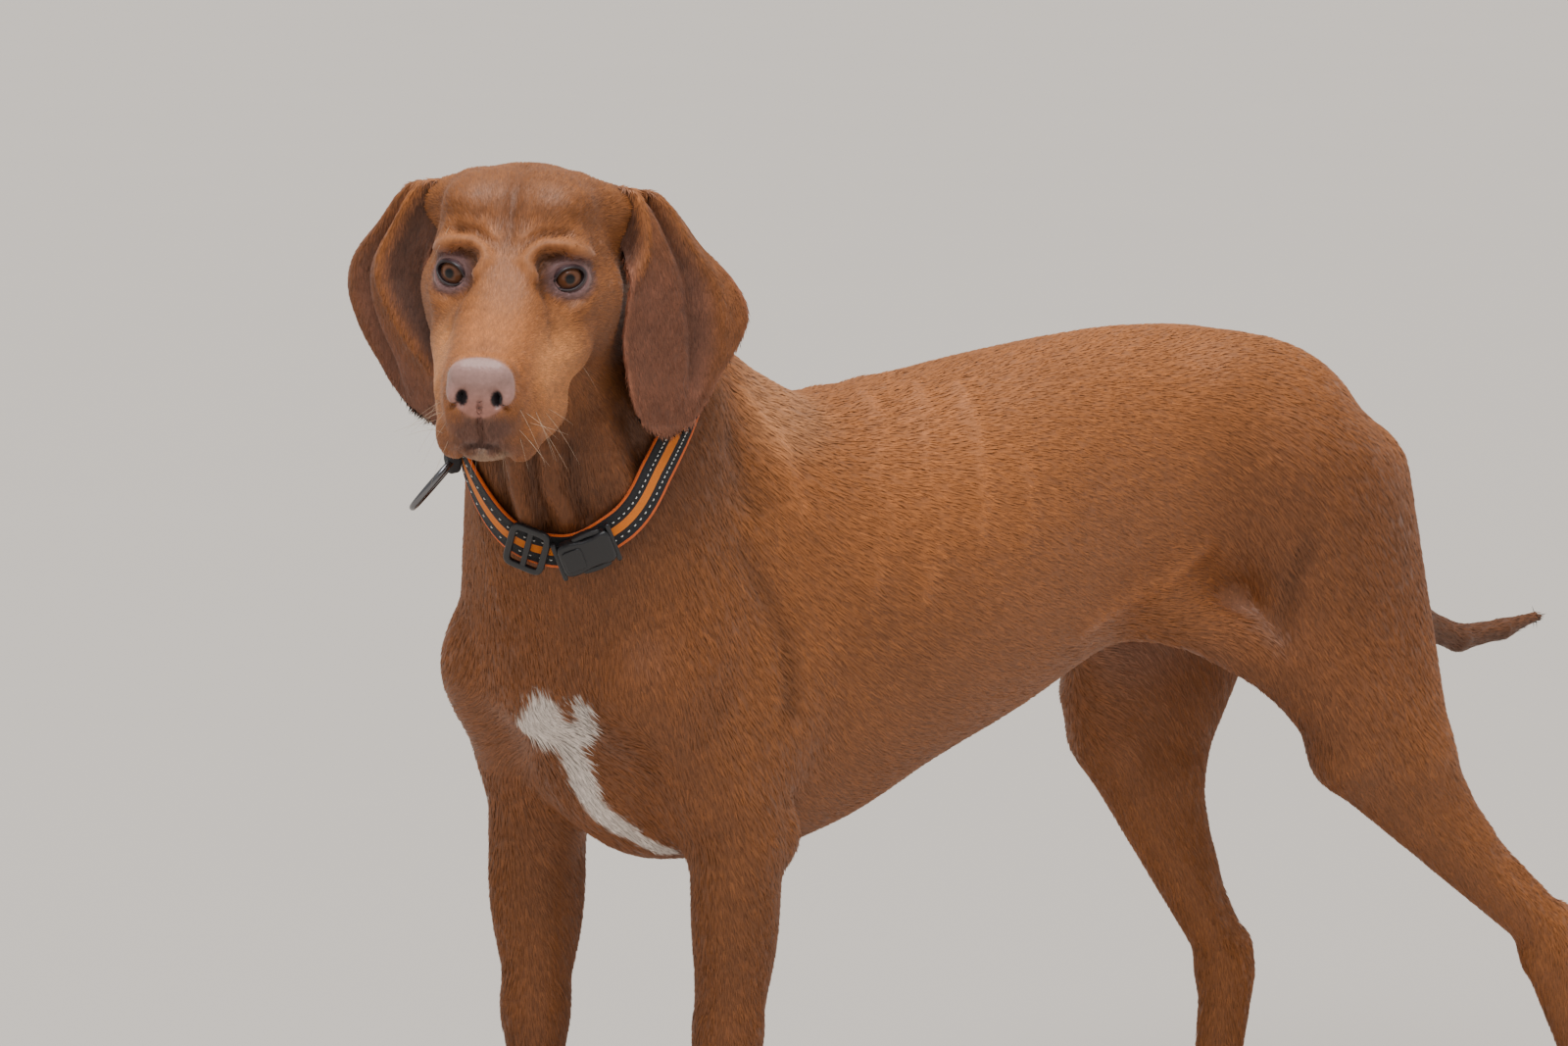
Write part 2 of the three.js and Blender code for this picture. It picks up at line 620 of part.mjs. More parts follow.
function foreSolids({ side, elbowOut, wristOut, shift }) {
  const path = spline([
    [side * 52, -40 + shift * 0.5, 420], [side * 58, -22 + shift * 0.8, 365],
    [side * elbowOut, -3 + shift, 305], [side * (elbowOut - 2), -6 + shift, 230],
    [side * wristOut, -12 + shift, 110], [side * (wristOut + 1), -25 + shift, 26],
  ]);
  return [
    castAlong(path, { rings: 36, count: 20, radius: 62, ends: [5, 5] }),
    pawSolid(side, wristOut + 1, -25 + shift, 1),
  ];
}

function hindSolids(leg) {
  const { side, toeJoint } = leg;
  const { atKnee, atHock } = shank(leg);
  const path = spline([
    [side * 40, 455, 475], [side * 56, (455 + leg.knee[1]) / 2 + 12, 385], atKnee(12, 24),
    atKnee(80, 18), atHock(-40, 4), atHock(-2, 4, -6), [side * toeJoint[0], toeJoint[1], toeJoint[2]],
    [side * toeJoint[0], toeJoint[1] - 8, 20],
  ]);
  return [
    castAlong(path, { rings: 40, count: 22, radius: 108, ends: [5, 5] }),
    pawSolid(side, toeJoint[0], toeJoint[1] - 2, 0.93),
  ];
}

// ---------------------------------------------------------------- ears, eyes, claws

/** An ear: a leaf between its front and rear edges, bowed outwards, with a rounded rim. */
function earSolid(rows, across) {
  const steps = 10;
  const centre = curves(rows.map((row, i) => [i / (rows.length - 1), ...row]));
  const at = (s) => vec(centre.slice(0, 3).map((c) => c(s)));
  const e = vec(across).normalize();
  const sections = [];
  for (let i = 0; i <= steps; i += 1) {
    const s = i / steps;
    const tangent = at(Math.min(s + 0.01, 1)).sub(at(Math.max(s - 0.01, 0))).normalize();
    const out = tangent.cross(e).normalize();
    if (out.x * e.x + out.y * 0.4 < 0) out.negate();
    const bow = EAR_BOW * Math.sin(Math.PI * Math.min(s * 1.1, 1));
    const point = (t, lift) => {
      const offset = bow * (1 - t * t) + lift * (EAR_THICK / 2) * Math.sqrt(1 - 0.75 * t * t);
      return at(s).addScaledVector(e, t * centre[3](s)).addScaledVector(out, offset).applyMatrix4(headFrame);
    };
    const ts = [-1, -0.72, -0.25, 0.25, 0.72, 1];
    sections.push([...ts.map((t) => point(t, 1)), ...ts.map((t) => point(-t, -1))]);
  }
  const mean = (points) => points.reduce((a, b) => a.add(b), new THREE.Vector3()).divideScalar(points.length);
  return solid(overRings(sections, mean(sections[0]), mean(sections[steps])));
}

/** Ellipsoid solid with its own axes in the head, turned outwards by the eye's gaze. */
function eyeShape(side, radii, ahead, segments) {
  const gaze = -side * rad(EYE.outward);
  const turn = new THREE.Matrix4().makeTranslation(side * EYE.side, EYE.forward, EYE.up)
    .multiply(new THREE.Matrix4().makeRotationZ(gaze))
    .multiply(new THREE.Matrix4().makeRotationX(rad(EYE.lift)))
    .multiply(new THREE.Matrix4().makeTranslation(0, ahead, 0))
    .multiply(new THREE.Matrix4().makeScale(...radii));
  const ball = new THREE.SphereGeometry(1, segments, segments * 0.625);
  return solid(ball.applyMatrix4(turn).applyMatrix4(headFrame));
}

/** The hollow for an eye: the ball with its clearance, and the opening between the lids. */
function eyeSocket(side) {
  const r = EYE.radius + CUT + 0.15;
  return eyeShape(side, [r, r, r], 0, 16).add(eyeShape(side, EYE.opening, 11, 16));
}

/** A claw: a blunt cone that leaves a toe forwards and down. */
function clawSolid(x, y, z) {
  const shape = new THREE.ConeGeometry(CLAW.radius, CLAW.length, 5);
  const turn = new THREE.Matrix4().makeTranslation(x, y, z)
    .multiply(new THREE.Matrix4().makeRotationX(Math.PI + rad(28)));
  return solid(shape.applyMatrix4(turn));
}

function clawsOf(side, x, y, k) {
  const spots = [[-20, -24], [-8, -36], [8, -36], [20, -24]];
  return spots.map(([a, b]) => clawSolid(side * x + a * k, y + (b - 14) * k, 9 * k));
}

// ---------------------------------------------------------------- collar

/** Middle of the neck at a height. */
const neckMiddle = (z) => vec([6 + 0.24 * (z - 500), -18 - 0.84 * (z - 500), z]);

/** Height of the collar at a direction, from the route taken round and round. */
const collarHeight = (() => {
  const turns = [-360, 0, 360].flatMap((t) => COLLAR_ROUTE.map(([angle, z]) => [angle + t, z]));
  return through(turns.map(([angle]) => angle), turns.map(([, z]) => z));
})();

/** Unit slope of the skin's field at a point. */
function skinNormal(p) {
  const e = 0.5;
  const slope = (dx, dy, dz) => {
    const shift = vec([dx, dy, dz]);
    return skin(p.clone().add(shift)) - skin(p.clone().sub(shift));
  };
  return vec([slope(e, 0, 0), slope(0, e, 0), slope(0, 0, e)]).normalize();
}

/** Moves a point straight out or in until it stands at a level above the skin. */
function settled(p, level) {
  const q = p.clone();
  for (let i = 0; i < 5; i += 1) q.addScaledVector(skinNormal(q), level - skin(q));
  return q;
}

/** Point on the collar's middle line at a direction in degrees. */
function collarPoint(direction, level = 0) {
  const middle = neckMiddle(collarHeight(direction));
  const out = vec([Math.cos(rad(direction)), Math.sin(rad(direction)), 0]);
  return middle.clone().addScaledVector(out, reach(skin, middle, out, 170, level));
}

/** Frame at a direction: along the strap, across it, and out from the neck. */
function collarFrame(direction) {
  const at = collarPoint(direction);
  const out = skinNormal(at);
  const along = collarPoint(direction + 2).sub(collarPoint(direction - 2));
  along.addScaledVector(out, -along.dot(out)).normalize();
  return { at, along, out, across: out.clone().cross(along) };
}

/** Matrix that carries a fitting from its own axes onto the strap, lifted off the skin. */
function onStrap(direction, lift) {
  const { at, along, across, out } = collarFrame(direction);
  return new THREE.Matrix4().makeBasis(along, across, out).setPosition(at.addScaledVector(out, lift));
}

/** Closed strap about the neck between two levels above the skin. */
function strapSolid(inner, outer, width) {
  const n = COLLAR.segments;
  const corners = [[-1, inner], [1, inner], [1, outer], [-1, outer]];
  const points = [];
  for (let j = 0; j < n; j += 1) {
    const { at, across } = collarFrame((360 * j) / n);
    for (const [edge, level] of corners) {
      points.push(settled(at.clone().addScaledVector(across, (edge * width) / 2), level));
    }
  }
  const faces = [];
  for (let j = 0; j < n; j += 1) {
    for (let i = 0; i < 4; i += 1) {
      const [m, k] = [(i + 1) % 4, (j + 1) % n];
      const [a, b, c, d] = [j * 4 + i, j * 4 + m, k * 4 + m, k * 4 + i];
      faces.push(a, b, c, a, c, d);
    }
  }
  const geometry = new THREE.BufferGeometry().setFromPoints(points);
  geometry.setIndex(faces);
  return solid(geometry);
}

const strapTop = COLLAR.gap + COLLAR.thick + CUT; // level on which the fittings lie

/** Outline of a rectangle with cut corners. */
function plate(length, across, corner) {
  const [a, b, c] = [length / 2, across / 2, corner];
  const shape = new THREE.Shape();
  shape.moveTo(-a + c, -b);
  for (const [x, y] of [[a - c, -b], [a, -b + c], [a, b - c], [a - c, b], [-a + c, b], [-a, b - c], [-a, -b + c]]) {
    shape.lineTo(x, y);
  }
  return shape;
}

function sliderSolid() {
  const { length, across, bar, thick, direction } = SLIDER;
  const shape = plate(length, across, 3);
  shape.holes.push(plate(length - 2 * bar, across - 2 * bar, 1.5));
  const body = new THREE.ExtrudeGeometry(shape, { depth: thick, bevelEnabled: false });
  return solid(body.applyMatrix4(onStrap(direction, strapTop + 0.5)));
}

function claspSolid() {
  const { length, across, thick, direction } = CLASP;
  const body = new THREE.ExtrudeGeometry(plate(length - 2, across - 2, 4), {
    depth: thick - 2, bevelThickness: 1, bevelSize: 1, bevelSegments: 1, steps: 1,
  });
  body.translate(0, 0, 1);
  return solid(body.applyMatrix4(onStrap(direction, strapTop + 0.5)));
}

/** The ring's frame: its length hangs out and down from the strap. */
function ringMatrix(scale = 1) {
  const { direction, radius, stretch, hang, wire } = RING;
  const down = vec(hang).normalize();
  const flat = vec([0.739, -0.656, 0.152]);
  flat.addScaledVector(down, -flat.dot(down)).normalize();
  const start = collarPoint(direction, strapTop + wire + 0.6);
  const centre = start.addScaledVector(down, radius * stretch);
  return new THREE.Matrix4().makeBasis(flat, down, flat.clone().cross(down)).setPosition(centre)
    .multiply(new THREE.Matrix4().makeScale(1, stretch, scale));
}

function ringSolid(grow = 0) {
  return solid(new THREE.TorusGeometry(RING.radius, RING.wire + grow, 5, 14).applyMatrix4(ringMatrix()));
}

/** Short webbing keeper that holds the top of the ring against the strap. */
function keeperSolid() {
  const { at, along, across, out } = collarFrame(RING.direction);
  const box = new THREE.BoxGeometry(13, 19, 9);
  const matrix = new THREE.Matrix4().makeBasis(along, across, out)
    .setPosition(at.addScaledVector(out, strapTop + 0.4 + 4.5));
  return solid(box.applyMatrix4(matrix)).subtract(ringSolid(CUT + 0.1));
}

// ---------------------------------------------------------------- joining and parting

/** A box by its lowest and highest corners, grown on all sides. */
function boxSolid(low, high, grow = 0, matrix = new THREE.Matrix4()) {
  const [a, b] = [vec(low).subScalar(grow), vec(high).addScalar(grow)];
  const size = b.clone().sub(a);
  const box = new THREE.BoxGeometry(size.x, size.y, size.z);
  box.translate(...a.add(b).multiplyScalar(0.5).toArray());
  return solid(box.applyMatrix4(matrix));
}

/** The largest of a solid's separate bodies. */
function largest(body) {
  return body.decompose().reduce((a, b) => (a.volume() > b.volume() ? a : b));
}

/** Axes of a cutting box whose up axis is square to the cut. */
function cutFrame(at, up) {
  const z = vec(up).normalize();
  const y = vec([0, 1, 0]).addScaledVector(z, -z.y).normalize();
  return new THREE.Matrix4().makeBasis(y.clone().cross(z), y, z).setPosition(...at);
}

const group = new THREE.Group();
let rest; // what is left of the body while pieces are parted from it

function addMesh(name, body, [colour, roughness], metalness = 0) {
  const material = new THREE.MeshStandardMaterial({ color: colour, roughness, metalness });
  const mesh = new THREE.Mesh(geometryOf(body), material);
  mesh.name = name;
  group.add(mesh);
}

/** Parts off what lies in a box as a piece of its own, leaving a thin gap. */
function part(name, low, high, style, matrix) {
  addMesh(name, largest(rest.intersect(boxSolid(low, high, 0, matrix))), style);
  rest = rest.subtract(boxSolid(low, high, CUT, matrix));
}

const fores = [["left", LEFT_FORE], ["right", RIGHT_FORE]];
const hinds = [["left", LEFT_HIND], ["right", RIGHT_HIND]];

function joinBody() {
  const legs = [...fores.flatMap(([, leg]) => foreSolids(leg)), ...hinds.flatMap(([, leg]) => hindSolids(leg))];
  const claws = [
    ...fores.flatMap(([, l]) => clawsOf(l.side, l.wristOut + 1, -25 + l.shift, 1)),
    ...hinds.flatMap(([, l]) => clawsOf(l.side, l.toeJoint[0], l.toeJoint[1] - 2, 0.93)),
  ];
  const parts = [trunkSolid(), neckSolid(), headSolid(), tailSolid(), ...legs];
  const body = new Thinner(parts.reduce((a, b) => a.add(b))).thin(BODY_FACES);
  const standing = body.subtract(boxSolid([-400, -600, -40], [400, 1000, 0])); // flat soles
  return claws.reduce((a, b) => a.add(b), standing);
}

/** Ears, which stop just short of the head and the neck. */
function addEars() {
  const near = headSolid(EAR_GAP).add(neckSolid(EAR_GAP));
  for (const [name, rows, across] of [
    ["ear_left", EAR_LEFT, [0.69, -0.7, -0.18]], ["ear_right", EAR_RIGHT, [-0.6, -0.78, -0.18]],
  ]) {
    addMesh(name, largest(earSolid(rows, across).subtract(near)), COLOURS.ear);
  }
}

function addEyes() {
  for (const [name, side] of [["eye_left", 1], ["eye_right", -1]]) {
    rest = rest.subtract(eyeSocket(side));
    const r = EYE.radius;
    addMesh(name, eyeShape(side, [r, r, r], 0, 12), COLOURS.eye);
  }
}

function addCollar() {
  const { gap, thick, width } = COLLAR;
  rest = rest.subtract(strapSolid(gap - 0.4, gap + thick + 6, width + 2 * CUT));
  addMesh("collar_strap", strapSolid(gap, gap + thick, width), COLOURS.webbing);
  addMesh("collar_slider", sliderSolid(), COLOURS.plastic);
  addMesh("collar_clasp", claspSolid(), COLOURS.plastic);
  addMesh("collar_ring", ringSolid(), COLOURS.steel, 1);
  addMesh("collar_keeper", largest(keeperSolid()), COLOURS.webbing);
}

/** Parts both legs of a pair at three heights. The upper leg starts at the distance inside. */
function partLegs(pairs, name, { inside, front, rear, top, knee, ankle }) {
  for (const [which, { side }] of pairs) {
    const box = (x, y0, y1, z0, z1) => {
      const xs = [side * x, side * 160];
      return [[Math.min(...xs), y0, z0], [Math.max(...xs), y1, z1]];
    };
    part(`${name}_${which}_paw`, ...box(5, front - 60, rear + 160, -5, ankle), COLOURS.coat);
    part(`${name}_${which}_lower`, ...box(5, front - 60, rear + 160, ankle, knee), COLOURS.coat);
    part(`${name}_${which}_upper`, ...box(inside, front, rear, knee, top), COLOURS.coat);
  }
}

rest = joinBody();
addEyes();
addCollar();
part("nose", [-21, 92.5, -50], [21, 130, -10], COLOURS.nose, headFrame);
part("head", [-220, -250, 0], [220, 250, 400], COLOURS.coat, cutFrame([30, -105, 605], [0.17, -0.66, 0.73]));
part("neck", [-220, -220, 0], [220, 200, 300], COLOURS.coat, cutFrame([0, -42, 494], [0, -0.74, 0.67]));
addEars();
part("tail", [-28, 563, 290], [24, 780, 482], COLOURS.coat);
partLegs(fores, "foreleg", { inside: 50, front: -140, rear: 48, top: 470, knee: 286, ankle: 52 });
partLegs(hinds, "hindleg", { inside: 24, front: 325, rear: 600, top: 500, knee: 283, ankle: 52 });
addMesh("trunk", largest(rest), COLOURS.coat);

const box = new THREE.Box3().setFromObject(group);
for (const mesh of group.children) {
  mesh.geometry.translate(-(box.min.x + box.max.x) / 2, -(box.min.y + box.max.y) / 2, -box.min.z);
}

export default group;
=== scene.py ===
"""A short-coated pointer dog standing with its head turned, with its collar, on a studio floor."""
import functools
import math

import bpy
import numpy as np
from bpy.props import FloatProperty, FloatVectorProperty, IntProperty, PointerProperty
from mathutils import Matrix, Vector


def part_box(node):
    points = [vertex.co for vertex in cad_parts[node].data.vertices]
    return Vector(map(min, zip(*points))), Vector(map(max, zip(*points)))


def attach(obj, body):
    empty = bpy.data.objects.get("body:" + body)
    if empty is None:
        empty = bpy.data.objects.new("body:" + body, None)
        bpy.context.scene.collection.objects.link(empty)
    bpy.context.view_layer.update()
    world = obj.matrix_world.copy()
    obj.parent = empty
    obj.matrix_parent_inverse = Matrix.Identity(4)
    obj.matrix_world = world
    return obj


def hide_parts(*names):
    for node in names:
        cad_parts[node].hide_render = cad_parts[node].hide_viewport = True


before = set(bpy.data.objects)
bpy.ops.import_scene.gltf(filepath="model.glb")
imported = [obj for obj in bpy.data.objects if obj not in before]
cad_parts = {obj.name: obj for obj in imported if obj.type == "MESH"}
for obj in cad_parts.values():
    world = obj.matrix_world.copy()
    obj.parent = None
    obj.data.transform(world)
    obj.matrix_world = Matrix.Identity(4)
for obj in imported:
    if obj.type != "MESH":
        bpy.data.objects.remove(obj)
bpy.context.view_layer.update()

bl_info = {
    "name": "Standing pointer dog",
    "version": (1, 0, 0),
    "blender": (4, 5, 0),
    "location": "3D View > Sidebar > Dog",
    "description": "Builds the skin, coat, eyes, claws and collar of a standing pointer dog",
    "category": "Add Mesh",
}

MM = 0.001
FAR = 60.0  # the field's value away from all masses, in millimetres
REACH, GRID_REACH = 16, 20  # how far past its box and blend a mass counts, at points and on a grid

# ---------------------------------------------------------------- masses of flesh
# The body is worked out in millimetres: x to the dog's left, y towards the tail, z up from the floor.


def turn(yaw=0.0, pitch=0.0, roll=0.0):
    """Rows are the axes (side, length, up), yawed about up, pitched about side, rolled about length."""
    y, p, r = np.radians([yaw, pitch, roll])
    about_up = np.array([[np.cos(y), -np.sin(y), 0], [np.sin(y), np.cos(y), 0], [0, 0, 1]])
    about_side = np.array([[1, 0, 0], [0, np.cos(p), -np.sin(p)], [0, np.sin(p), np.cos(p)]])
    about_length = np.array([[np.cos(r), 0, np.sin(r)], [0, 1, 0], [-np.sin(r), 0, np.cos(r)]])
    return (about_up @ about_side @ about_length).T


class Blob:
    """Ellipsoid. Distance is k0 (k0 - 1) / k1: k0 is the length over the radii, k1 over their squares."""

    def __init__(self, centre, radii, blend=10.0, yaw=0, pitch=0, roll=0, cut=False, axes=None):
        self.centre, self.radii = np.array(centre, float), np.array(radii, float)
        self.blend, self.cut = blend, cut
        self.axes = turn(yaw, pitch, roll) if axes is None else axes

    def box(self):
        e = np.sqrt(((self.axes.T * self.radii) ** 2).sum(1))
        return self.centre - e, self.centre + e

    def moved(self, rot, origin):
        return Blob(origin + rot @ self.centre, self.radii, self.blend, cut=self.cut, axes=self.axes @ rot.T)

    def mirrored(self):
        flip = np.diag([-1.0, 1, 1])
        return Blob(flip @ self.centre, self.radii, self.blend, cut=self.cut, axes=flip @ self.axes @ flip)

    def dist(self, p):
        a = ((p - self.centre) @ self.axes.T) / self.radii
        k0 = np.sqrt((a * a).sum(-1))
        k1 = np.sqrt(((a / self.radii) ** 2).sum(-1)) + 1e-9
        return np.where(k0 < 0.05, -self.radii.min(), k0 * (k0 - 1) / k1)


class Cone:
    """Rounded cone: distance to the segment a to b less the radius there. flat < 1 thins it along thin."""

    def __init__(self, a, b, ra, rb, blend=10.0, thin=None, flat=1.0, cut=False):
        self.a, self.b, self.ra, self.rb = np.array(a, float), np.array(b, float), ra, rb
        self.blend, self.flat, self.cut = blend, flat, cut
        self.thin = None if thin is None else np.array(thin, float) / np.linalg.norm(thin)

    def box(self):
        r = max(self.ra, self.rb)
        return np.minimum(self.a, self.b) - r, np.maximum(self.a, self.b) + r

    def moved(self, rot, origin):
        thin = None if self.thin is None else rot @ self.thin
        a, b = origin + rot @ self.a, origin + rot @ self.b
        return Cone(a, b, self.ra, self.rb, self.blend, thin, self.flat, self.cut)

    def mirrored(self):
        f = np.array([-1.0, 1, 1])
        thin = None if self.thin is None else self.thin * f
        return Cone(self.a * f, self.b * f, self.ra, self.rb, self.blend, thin, self.flat, self.cut)

    def dist(self, p):
        q, ab = p - self.a, self.b - self.a
        stretch = 1.0 / self.flat - 1.0
        if self.thin is not None:
            q = q + stretch * (q @ self.thin)[..., None] * self.thin
            ab = ab + stretch * (ab @ self.thin) * self.thin
        t = np.clip((q @ ab) / (ab @ ab), 0, 1)
        v = q - t[..., None] * ab
        length = np.sqrt((v * v).sum(-1)) + 1e-9
        d = length - (self.ra + (self.rb - self.ra) * t)
        if self.thin is not None:
            g = v / length[..., None]
            g = g + stretch * (g @ self.thin)[..., None] * self.thin
            d = d / (np.sqrt((g * g).sum(-1)) + 1e-9)
        return d


def smooth_curve(x, y):
    """Cubic Hermite curve through (x, y), its slopes the weighted means of the steps on both sides."""
    x, y = np.array(x, float), np.array(y, float)
    h = np.diff(x)
    s = np.diff(y) / h
    m = np.empty_like(y)
    m[0], m[-1] = s[0], s[-1]
    m[1:-1] = (s[:-1] * h[1:] + s[1:] * h[:-1]) / (h[1:] + h[:-1])

    def at(t):
        t = np.clip(t, x[0], x[-1])
        i = np.clip(np.searchsorted(x, t, side="right") - 1, 0, len(x) - 2)
        u = (t - x[i]) / h[i]
        start = (2 * u**3 - 3 * u**2 + 1) * y[i] + (u**3 - 2 * u**2 + u) * h[i] * m[i]
        return start + (-2 * u**3 + 3 * u**2) * y[i + 1] + (u**3 - u**2) * h[i] * m[i + 1]

    return at


class Loft:
    """Superellipse sections (length, top, bottom, half width, widest height): |x/w|^n + |z/h|^n = 1."""

    def __init__(self, stations, blend=10.0, power=2.2, rot=None, origin=None):
        self.st = np.array(stations, float)
        self.blend, self.power, self.cut = blend, power, False
        self.top, self.low, self.wide = (smooth_curve(self.st[:, 0], self.st[:, i]) for i in (1, 2, 3))
        self.mid = smooth_curve(self.st[:, 0], self.st[:, 4]) if self.st.shape[1] > 4 else None
        self.rot = np.eye(3) if rot is None else rot
        self.origin = np.zeros(3) if origin is None else origin

    def box(self):
        w = self.st[:, 3].max() * 1.15
        ends = [(-w, w), (self.st[0, 0], self.st[-1, 0]), (self.st[:, 2].min(), self.st[:, 1].max())]
        corners = np.stack(np.meshgrid(*ends), -1).reshape(-1, 3)
        c = self.origin + corners @ self.rot.T
        return c.min(0), c.max(0)

    def moved(self, rot, origin):
        return Loft(self.st, self.blend, self.power, rot @ self.rot, origin + rot @ self.origin)

    def dist(self, p):
        q = (p - self.origin) @ self.rot
        t = np.clip(q[..., 1], self.st[0, 0], self.st[-1, 0])
        over = q[..., 1] - t
        top, low, w = self.top(t), self.low(t), self.wide(t)
        zc, h = (top + low) / 2, (top - low) / 2
        if self.mid is not None:
            zc = self.mid(t)
            h = np.where(q[..., 2] > zc, top - zc, zc - low)
        n = self.power
        a, b = np.abs(q[..., 0]) / w, np.abs(q[..., 2] - zc) / h
        s = (a**n + b**n) ** (1 / n) + 1e-9
        g = s ** (1 - n) * np.sqrt((a ** (n - 1) / w) ** 2 + (b ** (n - 1) / h) ** 2) + 1e-9
        least = -np.minimum(w, h)
        d = np.maximum(np.where(s < 0.1, least, (s - 1) / g), least)
        return np.where(over != 0, np.sqrt(np.maximum(d, 0) ** 2 + over**2), d)


def smooth_min(a, b, k):
    """The lesser of a and b, rounded off by h^2 k / 4 where they differ by less than k."""
    h = np.maximum(k - np.abs(a - b), 0) / k
    return np.minimum(a, b) - h * h * k / 4


def joined(d, e, mass):
    """Field d with a mass at distance e added to it, or cut from it."""
    return -smooth_min(-d, e, mass.blend) if mass.cut else smooth_min(d, e, mass.blend)


def field(masses, p):
    """Distance from the joined masses at points p, right near their surface."""
    d = np.full(len(p), FAR)
    for m in masses:
        a, b = m.box()
        reach = m.blend + REACH
        near = ((p > a - reach) & (p < b + reach)).all(1).nonzero()[0]
        if len(near):
            d[near] = joined(d[near], m.dist(p[near]), m)
    return d


def field_grid(masses, low, step, shape):
    """The same distance on a grid of points."""
    d = np.full(shape, FAR)
    for m in masses:
        a, b = m.box()
        reach = m.blend + GRID_REACH
        i0 = np.maximum(np.floor((a - reach - low) / step).astype(int), 0)
        i1 = np.minimum(np.ceil((b + reach - low) / step).astype(int) + 1, shape)
        if (i1 <= i0).any():
            continue
        axes = [low[k] + step * np.arange(i0[k], i1[k]) for k in range(3)]
        p = np.stack(np.meshgrid(*axes, indexing="ij"), -1)
        part = tuple(slice(i0[k], i1[k]) for k in range(3))
        d[part] = joined(d[part], m.dist(p), m)
    return d


TETRA = np.array([[1, 1, 1], [1, -1, -1], [-1, 1, -1], [-1, -1, 1]], float)


def slope(masses, p, e=0.3):
    """Gradient of the field from four samples at the corners of a small tetrahedron, and the field there."""
    g = np.zeros_like(p)
    mean = np.zeros(len(p))
    for corner in TETRA:
        f = field(masses, p + e * corner)
        g += f[:, None] * corner
        mean += f / 4
    return g / (4 * e), mean


def unit(v):
    return v / (np.linalg.norm(v, axis=-1, keepdims=True) + 1e-12)


def bell(x, width):
    """exp(-(x / width)^2)"""
    return np.exp(-((x / width) ** 2))


def one_side(p):
    """The same points with x taken as positive, so that one place stands for both sides."""
    return np.column_stack([np.abs(p[:, 0]), p[:, 1:]])


# ---------------------------------------------------------------- the dog's anatomy

EYE_MIDDLE = np.array([88.0, -194.0, 643.0])
HEAD_YAW, HEAD_PITCH, HEAD_ROLL = 41.7, -9.0, -2.0
EYE_SIDE, EYE_FORWARD, EYE_RADIUS, EYE_OUTWARD, EYE_LIFT = 28.2, -5.5, 11.0, 20.0, 8.0

TRUNK = [
    (-104, 430, 385, 24, 408), (-88, 478, 340, 52, 415), (-55, 520, 306, 66, 420), (0, 550, 291, 76, 425),
    (40, 554, 289, 82, 428), (95, 549, 299, 86, 430), (155, 552, 322, 86, 440), (233, 560, 346, 78, 458),
    (300, 565, 370, 66, 472), (350, 566, 382, 60, 480), (400, 561, 390, 58, 480), (460, 543, 398, 54, 478),
    (505, 516, 405, 43, 468), (540, 488, 415, 29, 456), (562, 466, 430, 14, 449),
]
SKULL = [
    (-106, 20, -14, 20), (-92, 35, -34, 34), (-72, 44, -50, 43), (-48, 48, -58, 47), (-25, 46, -63, 47),
    (-6, 36, -66, 41), (12, 18, -68, 33), (28, 5, -69, 28.5), (45, -4, -70, 27), (62, -9, -70, 26),
    (78, -12, -68, 24.5), (90, -15, -64, 22), (99, -20, -58, 18.5), (104, -28, -48, 13),
]
TAIL = [
    (0, 532, 486, 17), (2, 556, 462, 14), (3, 570, 424, 12.5), (2, 584, 386, 11),
    (0, 606, 358, 10), (-4, 648, 342, 8.5), (-8, 694, 342, 6.5), (-12, 740, 347, 2.5),
]
FORELEGS = {1: (-12, 63, 56), -1: (-50, 64, 58)}  # side: (shift towards the tail, elbow out, wrist out)
HIP = (50, 470, 462)
HINDLEGS = {  # side: knee, hock, toe joint
    1: ((82, 452, 304), (100, 621, 170), (103, 682, 38)),
    -1: ((70, 398, 302), (66, 504, 146), (66, 492, 34)),
}
EARS = {  # side: (edge to edge direction, rows of side, forward, up, half width)
    1: ((0.69, -0.7, -0.18), [
        (38, -60, 38, 14), (52, -63, 32, 17), (62, -66, 22, 20), (72, -68, 2, 26), (79.5, -71, -16, 36.5),
        (83, -72, -34, 42.5), (80.5, -69, -51, 40.5), (77.5, -64, -67, 33), (76.5, -58, -81, 26),
        (76, -55, -92, 18), (75.5, -53.5, -99, 4)]),
    -1: ((-0.6, -0.78, -0.18), [
        (-37, -58, 38, 13), (-50, -60, 32, 17), (-59, -62, 22, 22), (-68, -66, 5, 28), (-78, -70, -14, 36),
        (-79, -71, -30, 40), (-74, -68, -47, 38.5), (-66, -64, -65, 36.5), (-60.5, -60, -81, 30),
        (-55, -58, -92, 20.5), (-50, -57, -98, 5)]),
}
TOES = [(-20, -24, 9), (-8, -36, 10), (8, -36, 10), (20, -24, 9)]


def head_axes():
    """Columns are the head's side (left), forward and up directions."""
    y, p, r = np.radians([HEAD_YAW, HEAD_PITCH, HEAD_ROLL])
    forward = np.array([np.sin(y) * np.cos(p), -np.cos(y) * np.cos(p), np.sin(p)])
    left = np.array([np.cos(y), np.sin(y), 0.0])
    up = -np.cross(left, forward)
    side, top = left * np.cos(r) + up * np.sin(r), up * np.cos(r) - left * np.sin(r)
    return np.stack([side, forward, top], 1)


HEAD = head_axes()


def from_head(q):
    """Points given as side, forward, up in the head's axes, carried to the body's."""
    return np.asarray(q, float) @ HEAD.T + EYE_MIDDLE


def to_head(p):
    """The same the other way."""
    return (p - EYE_MIDDLE) @ HEAD


def both(mass):
    """The mass and its mirror image."""
    return [mass, mass.mirrored()]


